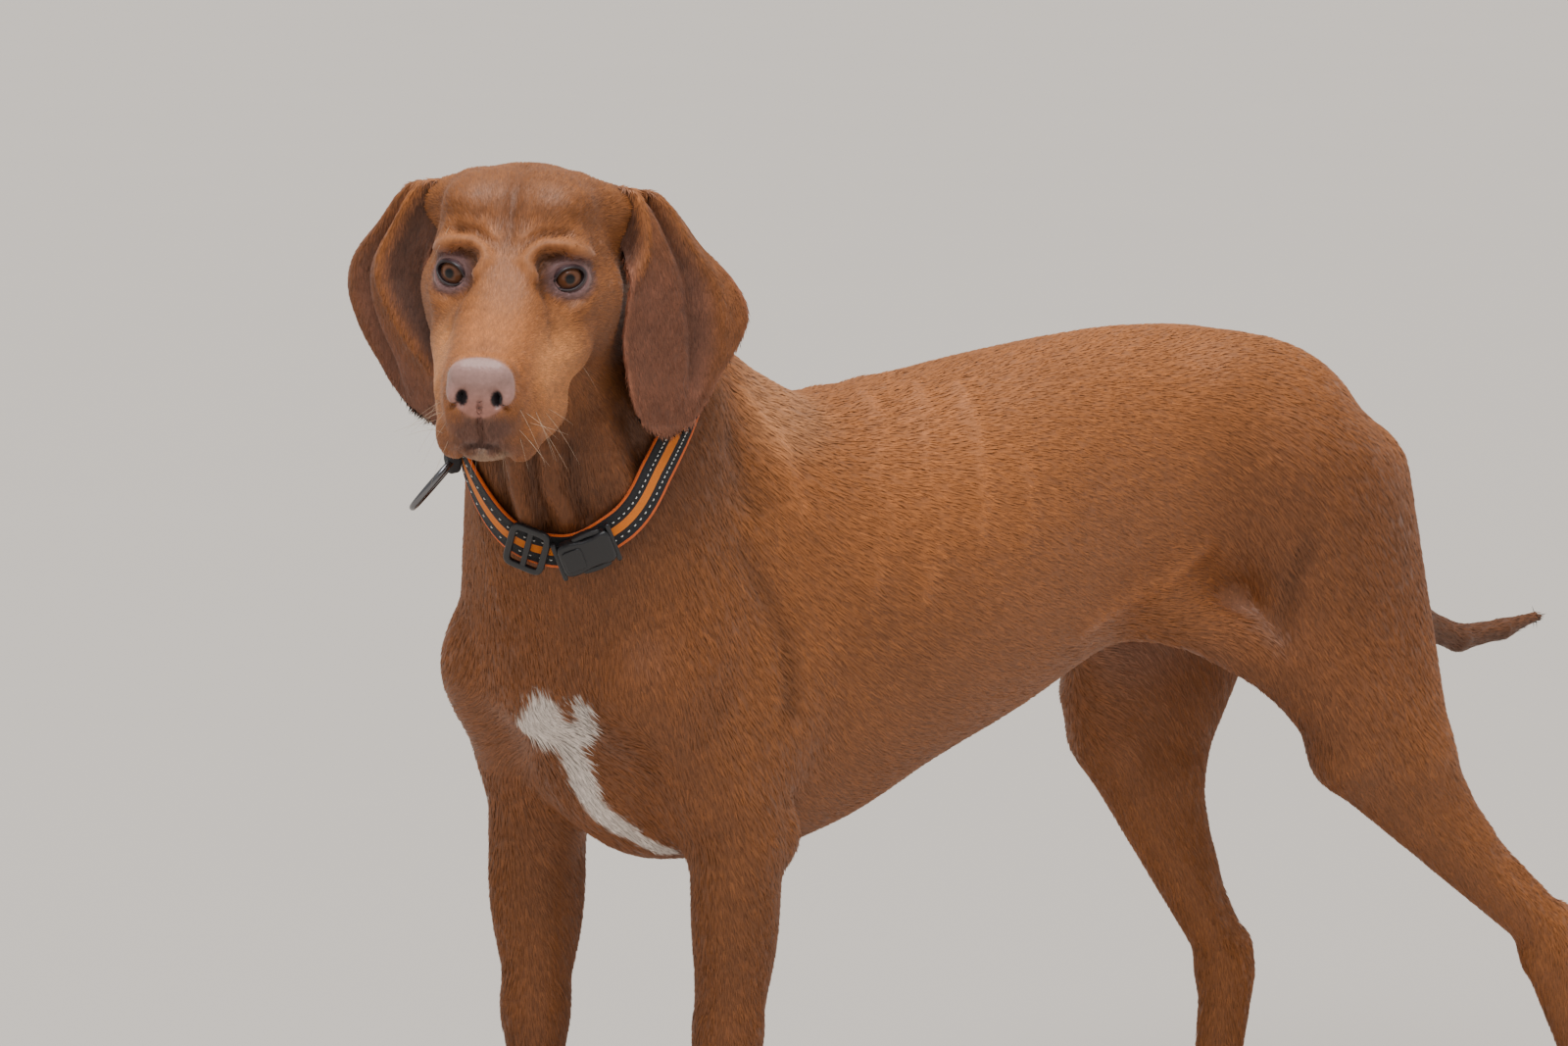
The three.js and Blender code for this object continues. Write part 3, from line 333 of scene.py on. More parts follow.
def foreleg_masses(s, shift, x0, x1):
    """Shoulder, arm, elbow, wrist and paw: x0 and x1 are how far out the elbow and the wrist are."""
    def at(x, y, z):
        return s * x, y, z
    middle = (x0 + x1) / 2 + 1
    return [
        Cone(at(24, 32, 528), at(54, -60, 420), 20, 31, 26, thin=(1, 0, 0), flat=0.85),
        Blob(at(55, -80 + shift * 0.3, 405), (22, 22, 32), 20),
        Cone(at(56, -66 + shift * 0.4, 402), at(x0, -6 + shift, 322), 29, 26, 22),
        Blob(at(62, shift * 0.6, 378), (23, 44, 66), 18, pitch=-18),
        Blob(at(x0 + 6, 24 + shift, 314), (12, 12, 18), 10),
        Cone(at(x0, -4 + shift, 302), at(middle, -8 + shift, 200), 26, 18.5, 14),
        Blob(at(x0 + 4, -14 + shift, 272), (16, 17, 42), 12, pitch=4),
        Blob(at(x0 - 2, 10 + shift, 262), (14, 14, 46), 12, pitch=-8),
        Cone(at(middle, -8 + shift, 205), at(x1, -11 + shift, 108), 18.5, 14.5, 10),
        Blob(at(x1, -13 + shift, 100), (17, 16.5, 20), 8),
        Blob(at(x1, 3 + shift, 88), (8, 7, 10), 6),
        Cone(at(x1, -13 + shift, 92), at(x1 + 1, -25 + shift, 34), 14.5, 15.5, 8, thin=(0, 1, 0), flat=0.9),
    ] + paw_masses(s * (x1 + 1), -25 + shift, 1.0)


def paw_masses(x, y, k):
    """A paw at (x, y), k times full size: its middle, its heel pad and four toes."""
    def at(a, b, z):
        return x + a * k, y + b * k, z * k
    masses = [Blob(at(0, -9, 19), (22 * k, 26 * k, 17 * k), 9),
              Blob(at(0, 2, 10), (15 * k, 13 * k, 11.8 * k), 6)]
    for a, b, r in TOES:
        masses.append(Cone(at(a * 0.75, b + 14, 22), at(a, b, 11.5), 8.5 * k, r * k, 5))
        masses.append(Blob(at(a, b - 3, 8), (8 * k, 12 * k, 9.8 * k), 3.5))
    return masses


def hindleg_masses(s, knee, hock, toe):
    """Thigh, knee, second thigh, tendon, heel, foot and paw."""
    H, K, T, M = (np.array([s * a[0], a[1], a[2]], float) for a in (HIP, knee, hock, toe))
    d = unit(T - K)
    back = unit(np.cross(d, [s, 0, 0]))
    back = back if back[1] > 0 else -back
    seat, heel = np.array([s * 38.0, 514, 460]), T + back * 15 + d * 2
    thin = (1, 0, 0)
    return [
        Blob((s * 32, 430, 500), (32, 78, 50), 30, pitch=-12),
        Cone(H + (0, -34, 4), K + (0, 0, 26), 50, 26, 28, thin, 0.74),
        Cone(seat, K + d * 50 + back * 34, 33, 25, 24, thin, 0.78),
        Cone(H + (s * 2, -2, -12), K + d * 20 + back * 26, 48, 32, 24, thin, 0.74),
        Cone((s * 38, 345, 396), K + (s * -4, -2, 36), 14, 17, 34, thin, 0.7),
        Blob(K + (0, 3, 6), (19, 20, 24), 14),
        Cone(K + d * 4, T - d * 10, 20, 14.5, 14),
        Cone(K + d * 52 + back * 27, K + d * 122 + back * 15, 27, 14, 14, thin, 0.85),
        Cone(K + d * 118 + back * 18, heel - d * 6, 11, 7.5, 10, thin, 0.75),
        Blob(heel, (8.5, 10, 12), 6),
        Blob(T + (0, -2, -4), (15.5, 20, 22), 9),
        Cone(T + (0, 3, -12), M, 20, 15, 8, thin, 0.78),
    ] + paw_masses(M[0], M[1] - 2, 0.93)


def neck_masses():
    """Neck, throat, crest and the muscles down to the shoulders."""
    return [
        Cone((0, 2, 486), (32, -122, 622), 72, 50, 34, (1, -0.1, 0), 0.88),
        Cone((0, -62, 430), (46, -144, 588), 64, 42, 28, (1, 0, 0), 0.98),
        Cone((4, 40, 528), (26, -112, 655), 24, 26, 26),
        Cone((-44, -76, 430), (-20, -90, 560), 34, 34, 40),
        Cone((46, -58, 425), (52, -70, 555), 30, 30, 40),
        Blob((0, -70, 420), (58, 42, 62), 24),
    ]


def head_masses():
    """Skull, brows, jaws, ear roots and chin, in the head's axes."""
    masses = [Loft(SKULL, 10, power=2.35)]
    masses += both(Blob((19, -24, 33), (21, 26, 16), 12))
    masses += both(Blob((26, -6, 17), (14, 12, 8), 8, yaw=-20))
    masses += both(Cone((42, -36, -14), (35, 0, -12), 9.5, 8, 12))
    masses += both(Blob((34, -46, -28), (18, 34, 28), 14))
    masses += both(Cone((30, -50, 28), (50, -62, 24), 15, 8, 12))
    masses += both(Cone((29, 2, -36), (19, 64, -44), 13, 9, 14))
    masses += both(Cone((27, 30, -61), (17, 74, -64.5), 13, 12, 9, thin=(1, 0, 0), flat=0.66))
    masses += both(Cone((42, -58, 22), (49, -67, -10), 12, 8, 12))
    masses += both(Cone((17, 74, -64.5), (8, 90, -55.5), 12, 10, 7, thin=(1, 0, 0), flat=0.8))
    masses += [Blob((0, 82, -65), (15.5, 18, 10.5), 7)]
    return masses


def gaze(side):
    """Eye's middle, the way its lids face, and their across and up directions, in the head's axes."""
    g, e = math.radians(EYE_OUTWARD), math.radians(EYE_LIFT)
    look = np.array([side * math.sin(g) * math.cos(e), math.cos(g) * math.cos(e), math.sin(e)])
    across = np.array([side * math.cos(g), -math.sin(g), 0.0])  # towards the outer corner
    up = np.array([-side * math.sin(g) * math.sin(e), -math.cos(g) * math.sin(e), math.cos(e)])
    return np.array([side * EYE_SIDE, EYE_FORWARD, 0.0]), look, across, up


def face_masses():
    """Fine forms of the head that only the skin has: eye hollows, lids and nose leather."""
    eye, look, across, up = gaze(1)
    hollow = eye + look * 20 - across * 1.5 - up * 0.5
    masses = both(Blob(hollow, (15.5, 10, 11.5), 11, yaw=-20, pitch=8, cut=True))
    masses += both(Blob(eye + look * 0.4, (12.7, 12.7, 12.4), 4))
    masses += [Cone((-8.5, 96, -25), (8.5, 96, -25), 9.2, 9.2, 4)]
    return masses + both(Blob((10, 97, -37.5), (8, 10, 9.5), 3))


def body_masses(fine):
    """All masses of the dog, with the fine forms of the face or without."""
    masses = [Loft(TRUNK, 20, power=2.15)] + neck_masses()
    for side in (1, -1):
        masses += foreleg_masses(side, *FORELEGS[side])
    for side in (1, -1):
        masses += hindleg_masses(side, *HINDLEGS[side])
    for a, b in zip(TAIL[:-1], TAIL[1:]):
        masses.append(Cone(a[:3], b[:3], a[3], b[3], 5))
    head = head_masses() + (face_masses() if fine else [])
    return masses + [m.moved(HEAD, EYE_MIDDLE) for m in head]


PLAIN, FINE = body_masses(False), body_masses(True)


# ---------------------------------------------------------------- places on the body

def step01(x, low, high):
    """0 below low, 1 above high, and a smooth rise between."""
    t = np.clip((x - low) / (high - low), 0, 1)
    return t * t * (3 - 2 * t)


def line_distance(p, line):
    """Distance from each point to a line of points."""
    best = np.full(len(p), 1e9)
    for a, b in zip(line[:-1], line[1:]):
        a, b = np.array(a, float), np.array(b, float)
        t = np.clip((p - a) @ (b - a) / ((b - a) @ (b - a)), 0, 1)
        best = np.minimum(best, ((p - a - t[:, None] * (b - a)) ** 2).sum(1))
    return np.sqrt(best)


def around(h, centre, radii, edge=0.35):
    """1 inside an ellipsoid, 0 outside, with a soft edge."""
    r = np.sqrt((((h - np.array(centre)) / np.array(radii)) ** 2).sum(1))
    return 1 - step01(r, 1 - edge / 2, 1 + edge / 2)


def nose_mask(h):
    """1 on the nose leather, which narrows downwards."""
    q = h.copy()
    q[:, 0] *= 1 + 0.35 * step01(-h[:, 2], 35, 46)
    return around(q, (0, 104, -30), (19.5, 13, 16.5), 0.12) * step01(h[:, 1], 91, 93)


def nostril_mask(h):
    """1 in the nostrils and the slits beside them."""
    q = one_side(h)
    hole = around(q, (9.0, 106, -36.0), (3.3, 9, 4.5), 0.3)
    slit = bell(line_distance(q, [(10.5, 106, -39.0), (15.2, 103, -40.8)]), 1.8)
    return np.maximum(hole, step01(slit, 0.35, 0.6)) * (h[:, 1] > 92)


def from_eye(h, side):
    """Each point from the eye's middle, and how far across, up and ahead of it that is."""
    eye, look, across, up = gaze(side)
    q = h - eye
    return q, q @ across, q @ up, q @ look


def eye_mask(h, grow=1.0, edge=0.3):
    """1 about the eye openings: ellipses 9.5 by 7.5 mm in half size, times grow."""
    mask = np.zeros(len(h))
    for side in (1, -1):
        _, x, y, ahead = from_eye(h, side)
        r = np.sqrt((x / (9.5 * grow)) ** 2 + (y / (7.5 * grow)) ** 2)
        mask = np.maximum(mask, (1 - step01(r, 1 - edge / 2, 1 + edge / 2)) * (ahead > 0))
    return mask


def pad_mask(p):
    """1 on the pads under the paws."""
    return 1 - step01(p[:, 2], 3.0, 7.0)


def coat_depth(p):
    """How far the skin lies under the tips of the coat, in millimetres."""
    h = to_head(p)
    depth = 1.5 - 0.6 * step01(h[:, 1], -60, 10) * (np.abs(h[:, 0]) < 60) * (p[:, 2] > 540)
    depth = np.where(p[:, 2] < 70, 0.8, depth)
    depth = np.where((p[:, 1] > 575) & (p[:, 2] > 300), 0.7, depth)
    bare = np.maximum(nose_mask(h), eye_mask(h, 1.3))
    return depth * (1 - np.maximum(bare, pad_mask(p)))


def settle(masses, p, rounds=2, level=None):
    """Newton steps along the slope of the field to the skin's own level under the coat."""
    for _ in range(rounds):
        g, f = slope(masses, p)
        want = -coat_depth(p) if level is None else level
        p = p - np.clip(f - want, -3, 3)[:, None] * g / np.maximum((g * g).sum(1), 0.3)[:, None]
    return p


# ---------------------------------------------------------------- skin surface

def surface_nets(d, low, step):
    """Quads of the zero level: a vertex in each cell that it crosses, at the mean of its edge crossings."""
    inside = d < 0
    n = np.array(d.shape) - 1
    total, count = np.zeros(tuple(n) + (3,)), np.zeros(tuple(n))
    for axis in range(3):
        other = [k for k in range(3) if k != axis]
        for o1 in (0, 1):
            for o2 in (0, 1):
                off = [0, 0, 0]
                off[other[0]], off[other[1]] = o1, o2
                a = tuple(slice(off[k], off[k] + n[k]) for k in range(3))
                off[axis] += 1
                b = tuple(slice(off[k], off[k] + n[k]) for k in range(3))
                hit = inside[a] != inside[b]
                t = np.where(hit, d[a] / np.where(hit, d[a] - d[b], 1), 0)
                off[axis] -= 1
                for k in range(3):
                    total[..., k] += hit * (t if k == axis else off[k])
                count += hit
    active = count > 0
    index = np.full(active.shape, -1)
    index[active] = np.arange(active.sum())
    v = low + step * (np.argwhere(active) + total[active] / count[active][:, None])
    quads = []
    for axis in range(3):
        other = [k for k in range(3) if k != axis]
        a, b = [slice(None)] * 3, [slice(None)] * 3
        a[axis], b[axis] = slice(0, -1), slice(1, None)
        e = np.argwhere(inside[tuple(a)] != inside[tuple(b)])
        e = e[((e[:, other] > 0) & (e[:, other] < n[other])).all(1)]
        corners = []
        for d0, d1 in ((0, 0), (1, 0), (1, 1), (0, 1)):
            c = e.copy()
            c[:, other[0]] -= d0
            c[:, other[1]] -= d1
            corners.append(index[tuple(c.T)])
        q = np.stack(corners, 1)
        flip = inside[tuple(a)][tuple(e.T)]
        flip = ~flip if axis == 1 else flip
        q[~flip] = q[~flip][:, ::-1]
        quads.append(q)
    return v, np.concatenate(quads)


def triangles(q, v):
    """Splits each quad along its shorter diagonal."""
    d0, d1 = (np.linalg.norm(v[q[:, i]] - v[q[:, i + 2]], axis=1) for i in (0, 1))
    first = (d0 < d1)[:, None]
    halves = (([0, 1, 2], [0, 1, 3]), ([0, 2, 3], [1, 2, 3]))
    return np.concatenate([np.where(first, q[:, a], q[:, b]) for a, b in halves])


def edges_of(t, count):
    """The mesh's edges once each, and the place in them of every triangle's three edges."""
    e = np.sort(np.concatenate([t[:, [0, 1]], t[:, [1, 2]], t[:, [2, 0]]]), axis=1)
    keys, place = np.unique(e[:, 0] * count + e[:, 1], return_inverse=True)
    return np.stack([keys // count, keys % count], 1), place.reshape(3, -1).T


def split_long(v, t, masses):
    """Halves the edges longer than 1.4 times the wanted length, and cuts each triangle to suit."""
    e, place = edges_of(t, len(v))
    a, b = v[e[:, 0]], v[e[:, 1]]
    long = np.linalg.norm(a - b, axis=1) > 1.4 * fineness((a + b) / 2)
    if not long.any():
        return v, t, False
    mid = np.full(len(e), -1)
    mid[long] = len(v) + np.arange(long.sum())
    v = np.concatenate([v, settle(masses, (a[long] + b[long]) / 2)])
    m = mid[place]
    marks = (m >= 0).sum(1)
    for count, first in ((1, lambda k: m[:, k] >= 0), (2, lambda k: m[:, k] < 0)):
        for k in (1, 2):  # the odd edge is turned to the front
            pick = (marks == count) & first(k)
            t[pick], m[pick] = np.roll(t[pick], -k, axis=1), np.roll(m[pick], -k, axis=1)
    out = [t[marks == 0]]
    p, q = t[marks == 1], m[marks == 1]
    out += [np.stack([p[:, 0], q[:, 0], p[:, 2]], 1), np.stack([q[:, 0], p[:, 1], p[:, 2]], 1)]
    p, q = t[marks == 2], m[marks == 2]  # edge 0 is whole, edges 1 and 2 are cut
    out += [np.stack([q[:, 1], p[:, 2], q[:, 2]], 1), np.stack([p[:, 0], p[:, 1], q[:, 1]], 1),
            np.stack([p[:, 0], q[:, 1], q[:, 2]], 1)]
    p, q = t[marks == 3], m[marks == 3]
    out += [np.stack([p[:, i], q[:, i], q[:, i - 1]], 1) for i in range(3)] + [q]
    return v, np.concatenate(out), True


def relaxed(v, t, weight):
    """Moves each vertex part of the way to the mean of its neighbours."""
    e, _ = edges_of(t, len(v))
    total, count = np.zeros_like(v), np.zeros(len(v))
    for i, j in ((0, 1), (1, 0)):
        np.add.at(count, e[:, i], 1)
        for k in range(3):
            total[:, k] += np.bincount(e[:, i], v[e[:, j], k], len(v))
    return v + weight * (total / np.maximum(count, 1)[:, None] - v)


FINE_PLACES = [  # ellipsoids in the head's axes (middle, radii), and the edge length wanted in them
    ((0, 0, -10), (70, 125, 75), 2.5), ((0, 55, -35), (40, 70, 48), 1.6), ((0, 98, -34), (24, 20, 22), 0.9),
    ((27, 0, 4), (19, 20, 17), 1.0), ((-27, 0, 4), (19, 20, 17), 1.0),
]


def fineness(p):
    """Wanted edge length of the skin's triangles, in millimetres: finer on the paws, neck, tail and head."""
    size = np.full(len(p), 6.0)
    size = np.where(p[:, 2] < 80, 3.2, size)
    size = np.where((p[:, 1] < -60) & (p[:, 2] > 430), 3.6, size)
    size = np.where((p[:, 1] > 560) & (p[:, 2] > 300), 3.5, size)
    h = to_head(p)
    for middle, radii, wanted in FINE_PLACES:
        size = np.where(around(h, middle, radii) > 0.5, wanted, size)
    return size


# Strokes are folds and grooves: the line, its width, and its height, negative for a groove.
HEAD_STROKES = [  # in the head's axes, on both sides
    # brow roll, and the pit under it
    ([(43, -9, 11), (34, 3, 17), (26, 8, 20.5), (19, 11, 22), (12.5, 14, 18.5), (10, 16, 12), (11, 18, 4)],
     3.4, 4.4),
    ([(28, 7, 14), (20, 12, 14), (18, 13, 8)], 3.2, -4.4),
    # wrinkle over the brow, and the grooves beside it
    ([(8, 10, 25), (14, 8, 29), (26, 2, 29), (34, -6, 25)], 3.0, 1.6),
    ([(7, 14, 18), (11, 12, 24), (19, 8, 26), (29, 2, 24.5)], 2.2, -1.9),
    # furrow, tear line, fold under the lid
    ([(0, -56, 50), (0, -20, 45), (0, 2, 32), (0, 14, 19)], 2.8, -1.7),
    ([(17, 13, -2), (16.5, 22, -14), (19, 34, -27)], 5.0, -1.2),
    ([(17, 13, -8), (25, 9, -13.5), (37, 0, -12)], 2.4, -0.9),
    # philtrum, nostril and its slit
    ([(0, 108, -37), (0, 106, -48), (0, 100, -62)], 1.2, -2.2),
    ([(8.8, 108, -34), (9.0, 107, -37.5)], 3.2, -9.0),
    ([(10.5, 106, -39.5), (14.5, 103, -41)], 1.7, -2.6),
    # mouth, corner of the lips, cheek
    ([(0, 102, -62.5), (8, 99, -64.5), (12, 90, -69), (12, 78, -73), (13, 60, -74), (18, 40, -74)],
     1.5, -2.4),
    ([(37, 20, -56), (33, 29, -65), (30, 34, -73)], 2.6, -1.3),
    ([(34, 6, -42), (30, 30, -48), (27, 56, -50)], 5.0, 0.8),
]
BODY_STROKES = [  # in the body's axes, on one side only: folds of the throat
    ([(52, -160, 545), (49, -159, 523), (49, -153, 502)], 4.5, 5.0),
    ([(69, -156, 548), (65, -149, 526), (67, -139, 505)], 4.5, 5.0),
    ([(62, -158, 548), (57, -154, 522), (57, -146, 500)], 3.6, -4.5),
    ([(76, -145, 548), (72, -139, 526), (71, -131, 507)], 3.8, -3.5),
    ([(41, -160, 540), (38, -157, 512)], 5.0, -3.0),
    ([(80, -127, 556), (79, -114, 531), (78, -100, 512)], 7.0, 3.0),
    ([(88, -112, 562), (86, -100, 536)], 6.0, -3.0),
]
MIRRORED_STROKES = [  # in the body's axes, on both sides
    # ribs and the gaps between them
    ([(19, 119, 547), (63, 93, 515), (79, 82, 479), (84, 67, 448)], 6.0, 1.9),
    ([(20, 156, 550), (64, 130, 517), (82, 117, 476), (86, 105, 440)], 6.0, 1.8),
    ([(30, 180, 544), (70, 162, 509), (82, 150, 470)], 6.0, 1.5),
    ([(68, 195, 500), (80, 185, 460)], 6.0, 1.2),
    ([(40, 106, 534), (71, 87, 497), (82, 75, 462)], 4.5, -1.5),
    ([(42, 143, 534), (73, 123, 496), (84, 111, 458)], 4.5, -1.5),
    # shoulder blade, and the hollow behind the arm
    ([(51, 1, 558), (59, 17, 536), (74, 21, 496)], 8.0, 2.8),
    ([(60, -30, 540), (74, -10, 505)], 9.0, -2.4),
    ([(78, -22, 479), (81, 4, 433), (85, 7, 389)], 7.0, -2.8),
    # thigh and flank
    ([(72, 402, 387), (84, 414, 434)], 8.0, -2.6),
    ([(64, 255, 402), (54, 320, 417), (54, 361, 436)], 7.0, 2.2),
]


def on_skin(line, masses):
    """The line's points, and more between them, moved to the skin; in the head's axes if masses is None."""
    line = np.array(line, float)
    parts = []
    for a, b in zip(line[:-1], line[1:]):
        count = max(1, int(np.linalg.norm(b - a) // 5))
        parts.append(a + (b - a) * np.arange(count)[:, None] / count)
    p = np.concatenate(parts + [line[-1:]])
    return to_head(settle(FINE, from_head(p), 5)) if masses is None else settle(masses, p, 5)


@functools.lru_cache(None)
def laid_strokes():
    """The three lists of strokes with their lines laid on the skin."""
    lists = ((HEAD_STROKES, None), (BODY_STROKES, PLAIN), (MIRRORED_STROKES, PLAIN))
    return [[(on_skin(line, masses), width, height) for line, width, height in strokes]
            for strokes, masses in lists]


def body_relief(p, h):
    """Height of the folds over the skin: the sum of height x exp(-(distance to the line / width)^2)."""
    total = np.zeros(len(p))
    near = (h[:, 1] > -80) & (np.abs(h[:, 0]) < 60) & (np.abs(h[:, 2] + 15) < 80)
    whole = slice(None)
    places = ((near, one_side(h[near])), (whole, p), (whole, one_side(p)))
    for (part, q), strokes in zip(places, laid_strokes()):
        for line, width, height in strokes:
            total[part] += height * bell(line_distance(q, line), width)
    return total


def under_lids(v):
    """Inside each eye opening the skin sinks to a ball smaller than the eye, so that it never shows."""
    ball, h = 9.6, to_head(v)
    for side in (1, -1):
        q, x, y, ahead = from_eye(h, side)
        within = np.sqrt((x / ball) ** 2 + (y / 7.6) ** 2)
        sink = ((1 - step01(within, 0.95, 1.12)) * (ahead > 0))[:, None]
        q = q * (1 + sink * (ball / np.linalg.norm(q, axis=1, keepdims=True) - 1))
        h = np.where(sink > 0, gaze(side)[0] + q, h)
    return from_head(h)


def vertex_normals(v, t):
    """Sum of the area normals of the triangles round each vertex."""
    flat = np.cross(v[t[:, 1]] - v[t[:, 0]], v[t[:, 2]] - v[t[:, 0]])
    total = np.stack([sum(np.bincount(t[:, i], flat[:, k], len(v)) for i in range(3)) for k in range(3)], 1)
    return unit(total)


@functools.lru_cache(None)
def skin_surface():
    """Vertices in millimetres, triangles and outward normals of the dog's whole skin without its ears."""
    low, high, step = np.array([-136.0, -306, -8]), np.array([178.0, 764, 712]), 5.5
    shape = np.ceil((high - low) / step).astype(int)
    v, q = surface_nets(field_grid(PLAIN, low, step, shape), low, step)
    t = triangles(q, v)
    v = settle(PLAIN, v)
    v = settle(PLAIN, relaxed(v, t, 0.5), 1)
    for masses in [PLAIN] + 6 * [FINE]:
        v, t, more = split_long(v, t, masses)
        if not more:
            break
    v = settle(FINE, relaxed(v, t, 0.4), 1)
    v = settle(FINE, relaxed(v, t, 0.3))
    v = v + unit(slope(FINE, v)[0]) * body_relief(v, to_head(v))[:, None]
    v[:, 2] = np.maximum(v[:, 2], 0.3)
    v = under_lids(v)
    return v, t, vertex_normals(v, t)


def frame_shift():
    """From the body's own millimetres to the part's frame, read from the two eyes."""
    moves = []
    for name, side in (("eye_left", 1), ("eye_right", -1)):
        low, high = (np.array(c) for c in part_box(name))
        moves.append((low + high) / 2 / MM - from_head(gaze(side)[0]))
    move = np.mean(moves, 0)
    move[2] = 0
    return move


SHIFT = frame_shift()


def to_part(p):
    """Body millimetres to the part's metres."""
    return (np.asarray(p) + SHIFT) * MM


# ---------------------------------------------------------------- meshes

def mesh_object(name, p, faces):
    """Mesh from body millimetres and an array of triangles or quads."""
    mesh = bpy.data.meshes.new(name)
    faces = np.asarray(faces)
    count, sides = faces.shape
    mesh.vertices.add(len(p))
    mesh.vertices.foreach_set("co", to_part(p).astype(np.float32).ravel())
    mesh.loops.add(count * sides)
    mesh.loops.foreach_set("vertex_index", faces.astype(np.int32).ravel())
    mesh.polygons.add(count)
    mesh.polygons.foreach_set("loop_start", np.arange(0, count * sides, sides, dtype=np.int32))
    mesh.polygons.foreach_set("use_smooth", np.ones(count, bool))
    mesh.update(calc_edges=True)
    mesh.validate()
    obj = bpy.data.objects.new(name, mesh)
    bpy.context.scene.collection.objects.link(obj)
    return obj


def face_out(p, faces):
    """Turns all faces over if the closed surface holds a negative volume."""
    a, b, c = (p[faces[:, i]] for i in range(3))
    volume = (a * np.cross(b, c)).sum()
    if faces.shape[1] == 4:
        volume += (a * np.cross(c, p[faces[:, 3]])).sum()
    return faces[:, ::-1] if volume < 0 else faces


def faced_from(middle, p, faces, some=None):
    """Turns all faces over if they, or the first few of them, look towards the middle."""
    a, b, c = (p[faces[:some, i]] for i in range(3))
    return faces[:, ::-1] if (np.cross(b - a, c - a) * (a - middle)).sum() < 0 else faces


def attribute(obj, name, kind, values):
    """Value for each vertex: FLOAT, FLOAT_COLOR or FLOAT_VECTOR."""
    layer = obj.data.attributes.new(name, kind, "POINT")
    field_name = {"FLOAT": "value", "FLOAT_COLOR": "color", "FLOAT_VECTOR": "vector"}[kind]
    layer.data.foreach_set(field_name, np.asarray(values, np.float32).ravel())


def circle(count):
    """Angles all round."""
    return np.linspace(0, 2 * np.pi, count, endpoint=False)


def grid_faces(rows, columns):
    """Quads of a grid of points, wrapped round across the columns."""
    i = np.arange(rows - 1)[:, None]
    j = np.arange(columns)[None]
    k = (j + 1) % columns
    row, after = i * columns, (i + 1) * columns
    return np.stack([row + j, row + k, after + k, after + j], -1).reshape(-1, 4)


def tube(sections, closed_path=False):
    """Closed surface over rings of points, with a point at each end if the path is open."""
    rows, columns = sections.shape[:2]
    p = sections.reshape(-1, 3)
    if closed_path:
        faces = grid_faces(rows + 1, columns) % len(p)
        return p, face_out(p, faces)
    ends = np.stack([sections[0].mean(0), sections[-1].mean(0)])
    p = np.concatenate([p, ends])
    quads = grid_faces(rows, columns)
    tris = np.concatenate([quads[:, [0, 1, 2]], quads[:, [0, 2, 3]]])
    j = np.arange(columns)
    k = (j + 1) % columns
    first = np.stack([np.full(columns, len(p) - 2), k, j], 1)
    last = np.stack([np.full(columns, len(p) - 1), (rows - 1) * columns + j, (rows - 1) * columns + k], 1)
    return p, face_out(p, np.concatenate([tris, first, last]))


def merged(parts):
    """Several (points, faces) as one, all in triangles."""
    points, faces, count = [], [], 0
    for p, f in parts:
        if f.shape[1] == 4:
            f = np.concatenate([f[:, :3], f[:, [0, 2, 3]]])
        points.append(p)
        faces.append(f + count)
        count += len(p)
    return np.concatenate(points), np.concatenate(faces)


# ---------------------------------------------------------------- markings with painted light and shade, and the lie of the coat

PATCH_LOBES = [  # white chest patch: lines of points and the patch's half width about them
    ([(18, -119, 394), (-1, -113, 378), (11, -110, 376)], 10.5),
    ([(41, -112, 395), (39, -107, 386), (26, -103, 377)], 8.0),
    ([(22, -108, 379), (18, -97, 362), (17, -90, 347)], 9.5),
    ([(17, -90, 347), (20, -81, 332), (24, -68, 321)], 8.0),
    ([(24, -68, 321), (25, -52, 311), (24, -34, 304)], 5.5),
]


def mix(colour, other, weight):
    """Colours moved towards another by their weights."""
    return colour + (np.array(other)[None] - colour) * weight[:, None]


def ripple(p, scale, seed):
    """Soft uneven value from -1 to 1: a sum of slanted waves."""
    rng = np.random.default_rng(seed)
    total = np.zeros(len(p))
    for _ in range(6):
        k = rng.normal(size=3) / scale
        total += np.sin(p @ k + rng.uniform(0, 6.28))
    return total / 3.2


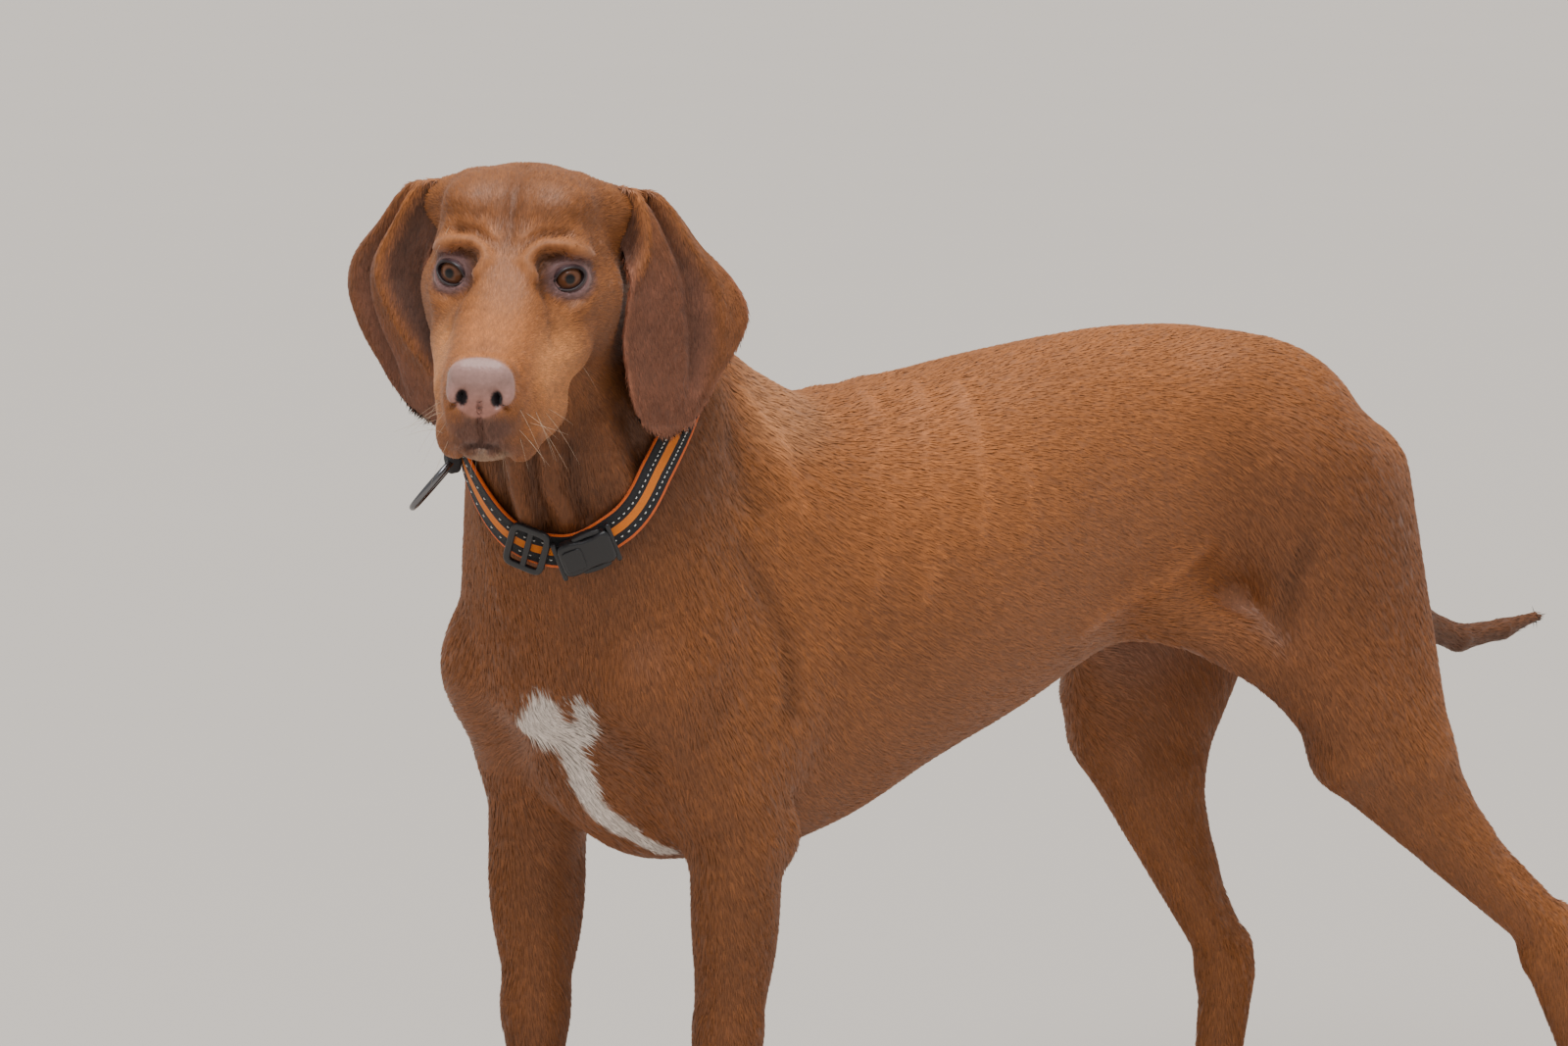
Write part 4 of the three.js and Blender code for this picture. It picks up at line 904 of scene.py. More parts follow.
def markings_and_painted_light(p, look):
    """Colour of the coat or bare skin at each point, with painted light and shade in it, the same for skin
    and tufts.
    """
    h = to_head(p)
    left, face = one_side(p), one_side(h)
    colours = (look.coat, look.face, look.deep_and_shade, look.lips, look.nose)
    rust, tan, deep_and_shade, lips, nose = (np.array(colour) for colour in colours)
    head = around(h, (0, 0, -6), (62, 132, 80), 0.5)
    body = 1 - head
    uneven = h + np.stack([1.6 * ripple(h, 2.2, 31), 0 * h[:, 0], 1.6 * ripple(h, 2.2, 32)], 1)
    spots = step01(ripple(h, 0.9, 5), 0.7, 1.1)
    c = np.repeat(rust[None], len(p), 0)
    # painted light and shade: the upper body lighter where the top light falls, a painted shadow of the head
    # and ears on the throat, a darker tail, and painted shade on the thighs, the lower legs and the breast
    # painted light: upper flanks and back lighter, as lit from above
    c = mix(c, rust * 1.3, 0.8 * step01(p[:, 1], -60, 120) * step01(p[:, 2], 400, 540) * body)
    # painted shadow of the head and ears on the side of the neck and the throat
    c = mix(c, deep_and_shade * 0.7, 0.9 * around(p, (60, -110, 545), (72, 80, 66), 0.9) * body)
    c = mix(c, deep_and_shade * 0.55, 0.9 * step01(p[:, 1], 555, 590) * (p[:, 2] > 300))
    # painted shade on the thighs
    c = mix(c, deep_and_shade * 0.9, 0.7 * around(left, (75, 440, 400), (50, 100, 120), 0.9))
    # painted shade on the lower forelegs and the low front of the body
    c = mix(c, deep_and_shade * 0.85, 0.9 * (1 - step01(p[:, 2], 120, 420)) * (1 - step01(p[:, 1], 60, 200)))
    # painted shade on the breast
    breast = bell(p[:, 1] + 110, 80) * (1 - step01(p[:, 2], 430, 520)) * step01(p[:, 2], 260, 330)
    c = mix(c, deep_and_shade, 0.65 * breast)
    # thin hair in the groin, a painted highlight on the withers, tan head
    c = mix(c, look.belly, 0.65 * around(p, (0, 392, 372), (46, 60, 44), 0.9))
    # painted highlight along the withers
    c = mix(c, (0.50, 0.23, 0.105), 0.5 * around(p, (22, 30, 550), (60, 42, 30), 0.9))
    c = mix(c, tan, 0.75 * head)
    c = mix(c, tan * 1.25, 0.75 * step01(h[:, 1], 26, 60) * head * (1 - step01(h[:, 2], 10, 20)))
    for colour, strength, q, middle, radii, edge in (
            # painted light on the flews and cheeks
            (tan * [1.9, 2.15, 2.4], 0.85 * head, face, (30, 42, -42), (14, 44, 26), 0.9),  # flews
            # painted shade in the pit under the brow
            (deep_and_shade, 0.6 * head, face, (17, 8, 10), (7, 12, 8), 0.8),  # pit under the brow
            (deep_and_shade * 0.8, 0.55 * head, face, (17, 10, -14), (6, 18, 20), 0.9),  # tear line
            # painted shade along the furrow
            (deep_and_shade, 0.5 * head, h, (0, 2, 40), (7, 26, 24), 0.9),  # furrow
            # painted shade on the top of the forehead
            (deep_and_shade, 0.4, h, (0, -16, 42), (40, 40, 20), 0.9),  # forehead
            # painted shadow of the ears on the side of the head
            (deep_and_shade * 0.8, 0.75 * head, face, (40, -42, -44), (16, 34, 28), 0.9),  # under the ears
            (deep_and_shade, 0.5, h, (0, 87, -9), (11, 9, 7), 0.9),  # behind the nose
            (deep_and_shade * 0.8, 0.6 * head, face, (19, 11, 11), (5, 10, 5), 0.8),  # inner corner of the eye
            (lips * 1.15, 0.78, uneven, (1, 101, -54), (18, 14, 10.5), 0.9),
            (lips * 1.3, 0.5, uneven, (0, 92, -66), (21, 16, 7), 0.9),
            (deep_and_shade * 0.7, 0.7 * spots, face, (20, 84, -42), (12, 18, 16), 0.8)):  # roots of the whiskers
        c = mix(c, colour, strength * around(q, middle, radii, edge))
    # painted shade and highlight: darker in the grooves and lighter on the ridges of the folds and wrinkles,
    # by their height
    c = c * np.clip(1 + 0.12 * body_relief(p, h), 0.4, 1.55)[:, None]
    # white patch on the breast
    edge = 1 + 0.12 * ripple(p, 4.0, 3)
    for line, width in PATCH_LOBES:
        c = mix(c, look.patch, 1 - step01(line_distance(p, line) / width, 0.8 * edge, 1.15 * edge))
    # bare skin
    c = mix(c, look.lid, 0.85 * eye_mask(h, 1.55, 0.5))
    leather = mix(np.repeat(nose[None], len(p), 0), nose * [0.95, 0.72, 0.62], 1 - step01(h[:, 2], -44, -24))
    c = c + (leather - c) * nose_mask(h)[:, None]
    # painted shade: the nostrils and the slits beside them near black
    c = mix(c, (0.010, 0.005, 0.006), nostril_mask(h))
    c = mix(c, lips * 0.6, 0.6 * around(h, (0, 101, -62.5), (13, 12, 2.6), 0.9))
    c = mix(c, (0.40, 0.26, 0.17), 0.7 * around(uneven, (3, 95, -71), (12, 13, 5.0), 0.9))
    c = mix(c, look.pads, pad_mask(p) * (p[:, 2] < 9))
    return np.clip(c * (1 + 0.07 * ripple(p, 22, 1) + 0.04 * ripple(p, 6, 2))[:, None], 0, 1)


COMB_ONCE = [  # place, direction in which the hair lies there, how far its say reaches
    ((0, 40, 555), (0, 1, 0), 70), ((0, 180, 555), (0, 1, 0), 90), ((0, 330, 565), (0, 1, 0), 90),
    ((0, 450, 545), (0, 0.9, -0.4), 60), ((0, 540, 490), (0, 0.4, -0.9), 50), ((0, 0, 290), (0, 1, 0), 60),
    ((0, 250, 350), (0, 1, 0.1), 80), ((0, -125, 425), (0, 0, -1), 30),
    ((15, -95, 350), (0.5, 0.4, -0.8), 26), ((20, -60, 310), (0.2, 0.8, -0.6), 35),
    ((80, 400, 340), (0, 0.5, -0.85), 60), ((85, 540, 235), (0, 0.6, -0.8), 60),
    ((-70, 450, 220), (0, 0.4, -0.9), 50), ((95, 630, 150), (0, 0.15, -1), 45),
    ((-66, 500, 120), (0, 0, -1), 45), ((100, 670, 50), (0, -0.2, -1), 30),
    ((-66, 480, 40), (0, -0.3, -1), 30), ((100, 655, 15), (0, -0.8, -0.5), 25),
    ((-66, 465, 15), (0, -0.8, -0.5), 25), ((0, 570, 420), (0, 0.3, -0.95), 30),
    ((0, 610, 356), (0, 0.85, -0.4), 30), ((-8, 700, 342), (0, 1, 0), 45),
    ((-45, -70, 530), (-0.1, 0.3, -0.95), 60), ((12, 0, 600), (0, 0.8, -0.6), 50),
    ((10, -125, 480), (0, 0.05, -1), 50),
]
COMB_BOTH = [  # the same on both sides
    ((80, 60, 440), (0, 0.8, -0.6), 80), ((85, 180, 430), (0, 0.9, -0.45), 90),
    ((70, 300, 460), (0, 0.85, -0.5), 80), ((50, 120, 310), (-0.2, 1, -0.1), 70),
    ((55, 340, 400), (0, 0.8, 0.5), 40), ((65, -20, 520), (0.1, 0.45, -0.9), 60),
    ((60, -60, 440), (0, 0.2, -1), 50), ((60, 0, 370), (0, 0.3, -0.95), 60),
    ((30, -118, 440), (0.25, 0.1, -1), 35), ((40, -105, 380), (0.9, 0.3, 0.2), 26),
    ((60, -20, 250), (0, 0.12, -1), 60), ((58, -20, 150), (0, 0.05, -1), 50),
    ((58, -40, 50), (0, -0.3, -0.95), 30), ((58, -62, 20), (0, -0.8, -0.6), 26),
    ((65, 430, 450), (0, 0.5, -0.87), 70), ((50, 520, 400), (0, 0.1, -1), 50),
    ((55, -60, 560), (0.1, 0.45, -0.9), 45), ((45, -165, 545), (-0.1, 0.15, -1), 40),
]
COMB_HEAD = [  # the same in the head's axes, on both sides if they're off the middle
    ((0, 70, -8), (0, -1, 0.1), 24), ((0, 30, 8), (0, -0.9, 0.4), 22), ((0, -5, 36), (0, -0.8, 0.6), 24),
    ((0, -50, 48), (0, -1, 0), 34), ((18, -10, 36), (0.45, -0.75, 0.4), 20),
    ((22, 80, -40), (0.25, -0.75, -0.65), 20), ((26, 50, -40), (0.2, -0.9, -0.4), 26),
    ((24, 60, -66), (0.1, -0.6, -0.8), 22), ((32, 15, -30), (0.2, -0.95, -0.15), 24),
    ((26, 8, 22), (0.7, -0.6, 0.4), 14), ((40, -20, 5), (0.3, -0.95, 0.1), 24),
    ((42, -45, -20), (0.1, -0.95, -0.3), 34), ((0, 70, -72), (0, -0.9, -0.4), 28),
    ((0, 20, -72), (0, -1, -0.1), 30), ((0, 100, -60), (0, 0.2, -1), 12),
]


def comb_table():
    """Places, unit directions and reaches of the combing, all in the body's axes."""
    rows = []
    for table in (COMB_ONCE, COMB_BOTH, COMB_HEAD):
        for place, lay, reach in table:
            for s in (1, -1) if place[0] and table is not COMB_ONCE else (1,):
                at, way = np.array(place) * [s, 1, 1], np.array(lay) * [s, 1, 1]
                rows.append((from_head(at), HEAD @ way, reach) if table is COMB_HEAD else (at, way, reach))
    places, lays, reaches = (np.array(c, float) for c in zip(*rows))
    return places, unit(lays), reaches


def lie(p, normal):
    """Lie of the hair: the combing directions weighted by exp(-(distance / reach)^2), laid on the surface."""
    places, lays, reaches = comb_table()
    out = np.zeros_like(p)
    chunk = 50000  # points at a time, to save memory
    for start in range(0, len(p), chunk):
        gap = ((p[start:start + chunk, None] - places[None]) ** 2).sum(-1) / reaches[None] ** 2
        out[start:start + chunk] = np.exp(-(gap - gap.min(1, keepdims=True))) @ lays
    return unit(out - (out * normal).sum(1, keepdims=True) * normal)


# ---------------------------------------------------------------- shader groups and materials

def new_group(name, inputs, outputs):
    """Shader node group with named sockets; each input is (name, socket type, default)."""
    group = bpy.data.node_groups.new(name, "ShaderNodeTree")
    for label, kind, default in inputs:
        socket = group.interface.new_socket(label, in_out="INPUT", socket_type=kind)
        if default is not None:
            socket.default_value = default
    for label, kind in outputs:
        group.interface.new_socket(label, in_out="OUTPUT", socket_type=kind)
    return group, group.nodes.new("NodeGroupInput"), group.nodes.new("NodeGroupOutput")


def node(tree, kind, values=None, **settings):
    """A node with its settings and the values of its inputs."""
    made = tree.nodes.new(kind)
    for key, value in settings.items():
        setattr(made, key, value)
    for key, value in (values or {}).items():
        made.inputs[key].default_value = value
    return made


def attribute_node(tree, name):
    return node(tree, "ShaderNodeAttribute", attribute_name=name)


def colour_ramp(tree, stops, interpolation="LINEAR"):
    """Ramp with (place, colour) stops."""
    ramp = node(tree, "ShaderNodeValToRGB")
    ramp.color_ramp.interpolation = interpolation
    elements = ramp.color_ramp.elements
    while len(elements) < len(stops):
        elements.new(0.5)
    for element, (place, colour) in zip(elements, stops):
        element.position, element.color = place, (*colour, 1)
    return ramp


@functools.lru_cache(None)
def lying_hair():
    """Streaks of hair along Y or Z: noise squeezed across the lie and drawn out along it."""
    group, start, end = new_group(
        "lying_hair", [("Upright", "NodeSocketFloat", 0.0), ("Fineness", "NodeSocketFloat", 1.0)],
        [("Streaks", "NodeSocketFloat")])
    link = group.links.new
    place = node(group, "ShaderNodeTexCoord")
    blend = node(group, "ShaderNodeMix", data_type="FLOAT")
    for stretch, side in (((1.0, 0.09, 0.9), "A"), ((1.0, 0.9, 0.09), "B")):
        mapping = node(group, "ShaderNodeMapping", {"Scale": stretch})
        noise = node(group, "ShaderNodeTexNoise", {"Detail": 3.0, "Roughness": 0.6})
        scale = node(group, "ShaderNodeMath", {0: 900.0}, operation="MULTIPLY")
        link(start.outputs["Fineness"], scale.inputs[1])
        link(scale.outputs[0], noise.inputs["Scale"])
        link(place.outputs["Object"], mapping.inputs["Vector"])
        link(mapping.outputs[0], noise.inputs["Vector"])
        link(noise.outputs["Fac"], blend.inputs[side])
    link(start.outputs["Upright"], blend.inputs["Factor"])
    link(blend.outputs["Result"], end.inputs["Streaks"])
    return group


@functools.lru_cache(None)
def speckle():
    """Uneven tone: a colour times 1 + Amount (noise - 1/2)."""
    group, start, end = new_group(
        "speckle", [("Color", "NodeSocketColor", (0.5, 0.5, 0.5, 1)), ("Scale", "NodeSocketFloat", 80.0),
                    ("Amount", "NodeSocketFloat", 0.2)],
        [("Color", "NodeSocketColor"), ("Value", "NodeSocketFloat")])
    link = group.links.new
    place = node(group, "ShaderNodeTexCoord")
    noise = node(group, "ShaderNodeTexNoise", {"Detail": 4.0, "Roughness": 0.55})
    link(place.outputs["Object"], noise.inputs["Vector"])
    link(start.outputs["Scale"], noise.inputs["Scale"])
    centred = node(group, "ShaderNodeMath", {1: 0.5}, operation="SUBTRACT")
    link(noise.outputs["Fac"], centred.inputs[0])
    scaled = node(group, "ShaderNodeMath", {2: 1.0}, operation="MULTIPLY_ADD")
    link(centred.outputs[0], scaled.inputs[0])
    link(start.outputs["Amount"], scaled.inputs[1])
    tinted = node(group, "ShaderNodeVectorMath", operation="SCALE")
    link(start.outputs["Color"], tinted.inputs[0])
    link(scaled.outputs[0], tinted.inputs["Scale"])
    link(tinted.outputs[0], end.inputs["Color"])
    link(noise.outputs["Fac"], end.inputs["Value"])
    return group


def group_node(tree, group, values):
    made = tree.nodes.new("ShaderNodeGroup")
    made.node_tree = group
    for key, value in values.items():
        made.inputs[key].default_value = value
    return made


def material(name, **sockets):
    """Principled material with constants on the shader's own sockets."""
    made = bpy.data.materials.new(name)
    made.use_nodes = True
    shader = made.node_tree.nodes["Principled BSDF"]
    for key, value in sockets.items():
        shader.inputs[key.replace("_", " ")].default_value = value
    return made, made.node_tree, shader, made.node_tree.links.new


def fur_skin(name, depth, fineness):
    """Coat seen close: the tint attribute with streaks along the lie, pebbled and wetter where it is bare."""
    made, tree, shader, link = material(
        name, Specular_IOR_Level=0.35, Sheen_Weight=0.12, Sheen_Roughness=0.5)
    tint, bare, upright = (attribute_node(tree, key) for key in ("tint", "bare", "upright"))
    streak = group_node(tree, lying_hair(), {"Fineness": fineness})
    link(upright.outputs["Fac"], streak.inputs["Upright"])
    tone = node(tree, "ShaderNodeMapRange",
                {"From Min": 0.3, "From Max": 0.72, "To Min": 0.62, "To Max": 1.22})
    link(streak.outputs[0], tone.inputs["Value"])
    haired = node(tree, "ShaderNodeVectorMath", operation="SCALE")
    link(tint.outputs["Color"], haired.inputs[0])
    link(tone.outputs[0], haired.inputs["Scale"])
    leather = group_node(tree, speckle(), {"Scale": 420.0, "Amount": 0.5})
    link(tint.outputs["Color"], leather.inputs["Color"])
    place = node(tree, "ShaderNodeTexCoord")
    pebble = node(tree, "ShaderNodeTexVoronoi", {"Scale": 620.0}, feature="SMOOTH_F1")
    link(place.outputs["Object"], pebble.inputs["Vector"])
    colour, height = (node(tree, "ShaderNodeMix", data_type=kind) for kind in ("RGBA", "FLOAT"))
    for blend, a, b in ((colour, haired.outputs[0], leather.outputs["Color"]),
                        (height, streak.outputs[0], pebble.outputs["Distance"])):
        link(bare.outputs["Fac"], blend.inputs["Factor"])
        link(a, blend.inputs["A"])
        link(b, blend.inputs["B"])
    link(colour.outputs["Result"], shader.inputs["Base Color"])
    rough = node(tree, "ShaderNodeMapRange", {"To Min": 0.62, "To Max": 0.36})
    link(bare.outputs["Fac"], rough.inputs["Value"])
    link(rough.outputs[0], shader.inputs["Roughness"])
    bump = node(tree, "ShaderNodeBump", {"Strength": 0.55, "Distance": depth})
    link(height.outputs["Result"], bump.inputs["Height"])
    link(bump.outputs[0], shader.inputs["Normal"])
    return made


@functools.lru_cache(None)
def tuft_coat(name):
    """Hair tufts: colour from the tint attribute with a fine speckle, a low sheen."""
    made, tree, shader, link = material(
        name, Roughness=0.5, Specular_IOR_Level=0.4, Sheen_Weight=0.07, Sheen_Roughness=0.4)
    fine = group_node(tree, speckle(), {"Scale": 1400.0, "Amount": 0.55})
    link(attribute_node(tree, "tint").outputs["Color"], fine.inputs["Color"])
    link(fine.outputs["Color"], shader.inputs["Base Color"])
    return made


def eye_finish(look):
    """Iris, pupil and white by the distance from the line of sight, under a clear wet coat."""
    made, tree, shader, link = material("eye", Roughness=0.35, Specular_IOR_Level=0.1, Coat_Weight=1.0,
                                        Coat_Roughness=0.015, Coat_IOR=1.33)
    fibre, ring = attribute_node(tree, "fibre"), attribute_node(tree, "from_sight")
    noise = node(tree, "ShaderNodeTexNoise", {"Scale": 7.0, "Detail": 3.0, "Roughness": 0.6})
    link(fibre.outputs["Vector"], noise.inputs["Vector"])
    uneven = node(tree, "ShaderNodeMath", {1: 0.05}, operation="MULTIPLY_ADD")
    link(noise.outputs["Fac"], uneven.inputs[0])
    link(ring.outputs["Fac"], uneven.inputs[2])
    iris = np.array(look.iris)
    ramp = colour_ramp(tree, [
        (0.0, (0.004, 0.004, 0.006)), (0.225, (0.005, 0.004, 0.004)), (0.275, iris * 0.4), (0.35, iris),
        (0.57, iris * 0.9), (0.665, iris * 0.35), (0.71, (0.012, 0.008, 0.007)), (0.80, (0.05, 0.03, 0.026)),
        (0.92, (0.10, 0.06, 0.055))])
    link(uneven.outputs[0], ramp.inputs["Fac"])
    link(ramp.outputs["Color"], shader.inputs["Base Color"])
    return made


@functools.lru_cache(None)
def grained_finish(name, colour, rough, scale, amount, bump, metallic=0.0, specular=0.5):
    """Stuff with a speckled tone and a fine grain; without a colour, the tint attribute gives it."""
    made, tree, shader, link = material(name, Roughness=rough, Metallic=metallic, Specular_IOR_Level=specular)
    grain = group_node(tree, speckle(), {"Scale": scale, "Amount": amount})
    if colour is None:
        link(attribute_node(tree, "tint").outputs["Color"], grain.inputs["Color"])
    else:
        grain.inputs["Color"].default_value = (*colour, 1)
    link(grain.outputs["Color"], shader.inputs["Base Color"])
    relief = node(tree, "ShaderNodeBump", {"Strength": 0.5, "Distance": bump})
    link(grain.outputs["Value"], relief.inputs["Height"])
    link(relief.outputs[0], shader.inputs["Normal"])
    return made


def webbing_finish(collar):
    """Woven strap: UV runs along it in widths (u) and across it (v); an orange stripe and edges on black."""
    made, tree, shader, link = material("webbing", Roughness=0.72, Specular_IOR_Level=0.3, Sheen_Weight=0.15)
    uv = node(tree, "ShaderNodeUVMap", uv_map="strap")
    split = node(tree, "ShaderNodeSeparateXYZ")
    link(uv.outputs[0], split.inputs[0])
    black, orange = tuple(collar.webbing), tuple(collar.stripe)
    edge = np.array(orange) * [0.95, 0.62, 0.6]
    ramp = colour_ramp(tree, [(0.0, edge), (0.10, black), (0.385, orange), (0.615, black), (0.955, edge),
                              (1.0, edge)], "CONSTANT")
    link(split.outputs["Y"], ramp.inputs["Fac"])
    mapping = node(tree, "ShaderNodeMapping", {"Scale": (28.0, 16.0, 1.0)})
    link(uv.outputs[0], mapping.inputs["Vector"])
    twill = node(tree, "ShaderNodeTexWave", {"Scale": 1.0, "Distortion": 0.6, "Detail": 1.0},
                 bands_direction="DIAGONAL")
    link(mapping.outputs[0], twill.inputs["Vector"])
    tone = node(tree, "ShaderNodeMapRange", {"To Min": 0.6, "To Max": 1.25})
    link(twill.outputs["Fac"], tone.inputs["Value"])
    woven = node(tree, "ShaderNodeVectorMath", operation="SCALE")
    link(ramp.outputs["Color"], woven.inputs[0])
    link(tone.outputs[0], woven.inputs["Scale"])
    link(woven.outputs[0], shader.inputs["Base Color"])
    bump = node(tree, "ShaderNodeBump", {"Strength": 0.7, "Distance": 0.0004})
    link(twill.outputs["Fac"], bump.inputs["Height"])
    link(bump.outputs[0], shader.inputs["Normal"])
    return made


def place_piece(obj, surface, slot=None, *nodes):
    """Gives a piece its material and its body, and hides the solids that it stands for; the slot is not used.
    """
    obj.data.materials.append(surface)
    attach(obj, "root")
    if nodes:
        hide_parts(*nodes)


# ---------------------------------------------------------------- ears, eyes, claws and whiskers

# in millimetres
EAR_THICK = 3.0
EAR_BOW, EAR_ROLL, EAR_RIDGE, EAR_VALLEY, EAR_WAVE, EAR_CURL = 7, 4.0, 3.5, 5.5, 1.2, 6.5
ROOT_ROWS = 12  # rows of an ear that sink into the head


def ear_lines(side, s):
    """Place across the ear (t) of its front roll and of its long valley, at each place down it (s)."""
    if side > 0:
        return (np.interp(s, [0.05, 0.15, 0.3, 0.45], [-0.15, -0.35, -0.75, -1.1]),
                np.interp(s, [0.1, 0.3, 0.5, 0.75, 1], [0.15, 0.05, -0.02, 0.42, 0.6]))
    return (np.interp(s, [0.05, 0.2, 0.45, 0.65, 0.8], [-0.1, -0.2, -0.38, -0.75, -1.1]),
            np.interp(s, [0.1, 0.3, 0.6, 1], [0.3, 0.22, 0.3, 0.4]))


def ear_sheets(side, rows=84, columns=44):
    """Outer and inner points of an ear on a grid (s down its length, t across), in body millimetres.

    Middle line C(s) through the rows, plus t times the half width, plus a bow (1 - t^2), a roll near the
    front edge with a hollow before it, and a long valley with a ridge behind it; the two faces stand half the
    thickness to each side, thinner at the edges.
    """
    across, table = EARS[side]
    table = np.array(table, float)
    place = np.linspace(0, 1, len(table))
    s = np.linspace(0, 1, rows)
    along = np.stack([smooth_curve(place, column)(s) for column in table.T], 1)
    centre, width = along[:, :3], along[:, 3:]
    e = unit(np.array(across, float))
    out = unit(np.cross(unit(np.gradient(centre, axis=0)), e))
    out *= np.sign(out[:, :1] * e[0] + out[:, 1:2] * 0.4)
    t = np.cos(np.linspace(np.pi, 0, columns))[None, :, None]
    s3 = s[:, None, None]
    roll, groove = (line[:, None, None] for line in ear_lines(side, s))
    fade = step01(s3, 0.03, 0.16) * (1 - step01(s3, 0.6, 0.9))
    lift = EAR_BOW * np.sin(np.pi * np.minimum(s3 * 1.1, 1)) * (1 - t**2)
    lift = lift + (EAR_ROLL * bell(t - roll - 0.06, 0.14) + EAR_RIDGE * bell(t - groove - 0.38, 0.26)) * fade
    lift = lift - EAR_VALLEY * bell(t - groove, 0.15) * fade - EAR_CURL * step01(roll - t, 0.02, 0.3) * fade
    lift = lift + EAR_WAVE * np.sin(11 * s3 + 2 * t) * step01(np.abs(t), 0.5, 1.0)
    middle = centre[:, None] + e * t * width[:, None] + out[:, None] * lift
    half = EAR_THICK / 2 * np.sqrt(1 - 0.8 * t**2)
    sheets = [from_head(middle + sign * half * out[:, None]) for sign in (1, -1)]
    sinking = (1 - step01(s[:ROOT_ROWS], 0.0, 0.15))[:, None, None]
    for sheet in sheets:
        root = sheet[:ROOT_ROWS]
        sunk = settle(FINE, root.reshape(-1, 3), 6, level=-3.0).reshape(root.shape)
        root += (sunk - root) * sinking
    return sheets


@functools.lru_cache(None)
def ear_surface(side):
    """Closed ear: rings along the outer face and back along the inner one. Places are (s, t, outside)."""
    outer, inner = ear_sheets(side)
    p, faces = tube(np.concatenate([outer, inner[:, ::-1]], 1))
    rows, columns = outer.shape[:2]
    t = np.cos(np.linspace(np.pi, 0, columns))
    place = np.stack(np.broadcast_arrays(
        np.linspace(0, 1, rows)[:, None], np.append(t, t[::-1]), np.repeat([1.0, 0.0], columns)), -1)
    place = np.concatenate([place.reshape(-1, 3), [[0, 0, 1], [1, 0, 1]]])
    return p, faces, vertex_normals(p, faces), place


def ear_tint(p, place, side, look):
    """Dark silky ears: a painted highlight along the front roll, rust behind the roll and the valley that is
    partly the ear's own colour and partly painted highlight, and painted shade in the hollow and the valley.
    """
    s, t, outside = place.T
    roll, groove = ear_lines(side, s)
    rust, dark, fade = np.array(look.coat), np.array(look.ear), 1 - step01(s, 0.6, 0.9)
    c = np.repeat(dark[None], len(p), 0)
    c = mix(c, rust, 0.8 * (1 - step01(s, 0.1, 0.45)))
    # rust behind the valley: partly the ear's own colour, partly painted highlight on the ridge
    c = mix(c, rust, (0.75 if side > 0 else 0.6) * step01(t - groove, 0.1, 0.4) * (1 - step01(s, 0.6, 0.85)))
    if side < 0:
        # rust behind the roll on the right ear: partly its own colour, partly painted highlight
        c = mix(c, rust, 0.55 * bell(t - roll - 0.3, 0.3) * fade)
    # painted highlight along the front roll
    c = mix(c, rust * 1.35, 0.8 * bell(t - roll - 0.05, 0.1) * step01(roll, -1.05, -0.85) * fade)
    # painted shade in the hollow before the roll, on the outer face
    c = mix(c, dark * 0.3, 0.85 * step01(roll - t, 0.03, 0.14) * step01(s, 0.0, 0.06) * outside)
    # painted shade along the valley
    c = mix(c, dark * 0.55, 0.7 * bell(t - groove, 0.13) * fade)
    c = mix(c, dark * 1.9, 0.6 * step01(np.abs(t), 0.9, 1.0) * step01(s, 0.3, 0.4))
    c = mix(c, dark * [1.3, 1.0, 0.9], 0.5 * (1 - outside))
    return np.clip(c * (1 + 0.1 * ripple(p, 14, 7) + 0.08 * ripple(p, 4, 8))[:, None], 0, 1)


SIDES = ((1, "left"), (-1, "right"))


def opaque(colour):
    """Colours with an alpha of 1."""
    return np.concatenate([colour, np.ones(colour.shape[:-1] + (1,))], -1)


def build_ears(look):
    leather = fur_skin("ear_leather", 0.0005, 1.3)
    for side, name in SIDES:
        p, faces, _, place = ear_surface(side)
        obj = mesh_object(f"ear_leather_{name}", p, faces)
        attribute(obj, "tint", "FLOAT_COLOR", opaque(ear_tint(p, place, side, look) * 0.85))
        attribute(obj, "bare", "FLOAT", np.zeros(len(p)))
        attribute(obj, "upright", "FLOAT", np.ones(len(p)))
        place_piece(obj, leather, "ear_coat", f"ear_{name}")


def build_eyes(look):
    """Eyeball: its radius at an angle from the line of sight is 11 mm plus a 0.8 mm swell over the iris."""
    wet = eye_finish(look)
    angle = np.concatenate([np.linspace(0.01, 0.8, 30), np.linspace(0.85, np.pi - 0.01, 22)])[:, None]
    spin = circle(64)[None]
    for side, name in SIDES:
        eye, sight, across, up = gaze(side)
        r = EYE_RADIUS + 0.8 * np.clip(1 - (angle / 0.62) ** 2, 0, 1) ** 2 + 0 * spin
        ring = (np.cos(angle) * r)[..., None] * sight + (np.sin(angle) * r)[..., None] * (
            np.cos(spin)[..., None] * across + np.sin(spin)[..., None] * up)
        p, faces = tube(from_head(eye + ring))
        obj = mesh_object(f"eyeball_{name}", p, faces)
        away = np.append((np.sin(angle) * EYE_RADIUS + 0 * spin).ravel(), [0, 0]) / 10
        away[np.append((angle > np.pi / 2) + 0 * spin > 0, [False, True])] = 1.0
        attribute(obj, "from_sight", "FLOAT", away)
        fibre = np.stack(np.broadcast_arrays(np.cos(spin) * 3, np.sin(spin) * 3, np.sin(angle) * 0.8), -1)
        attribute(obj, "fibre", "FLOAT_VECTOR", np.concatenate([fibre.reshape(-1, 3), np.zeros((2, 3))]))
        place_piece(obj, wet, "eyeball", f"eye_{name}")


LID_PROFILE = [  # factor on the opening, and distance from the eye's middle, from the eyeball to the face
    (0.90, 10.4), (0.95, 11.15), (0.985, 11.75), (1.0, 12.35), (1.03, 12.85), (1.08, 13.1),
    (1.16, 13.2), (1.25, 13.05), (1.36, 12.75), (1.52, 12.2), (1.72, 11.0)]


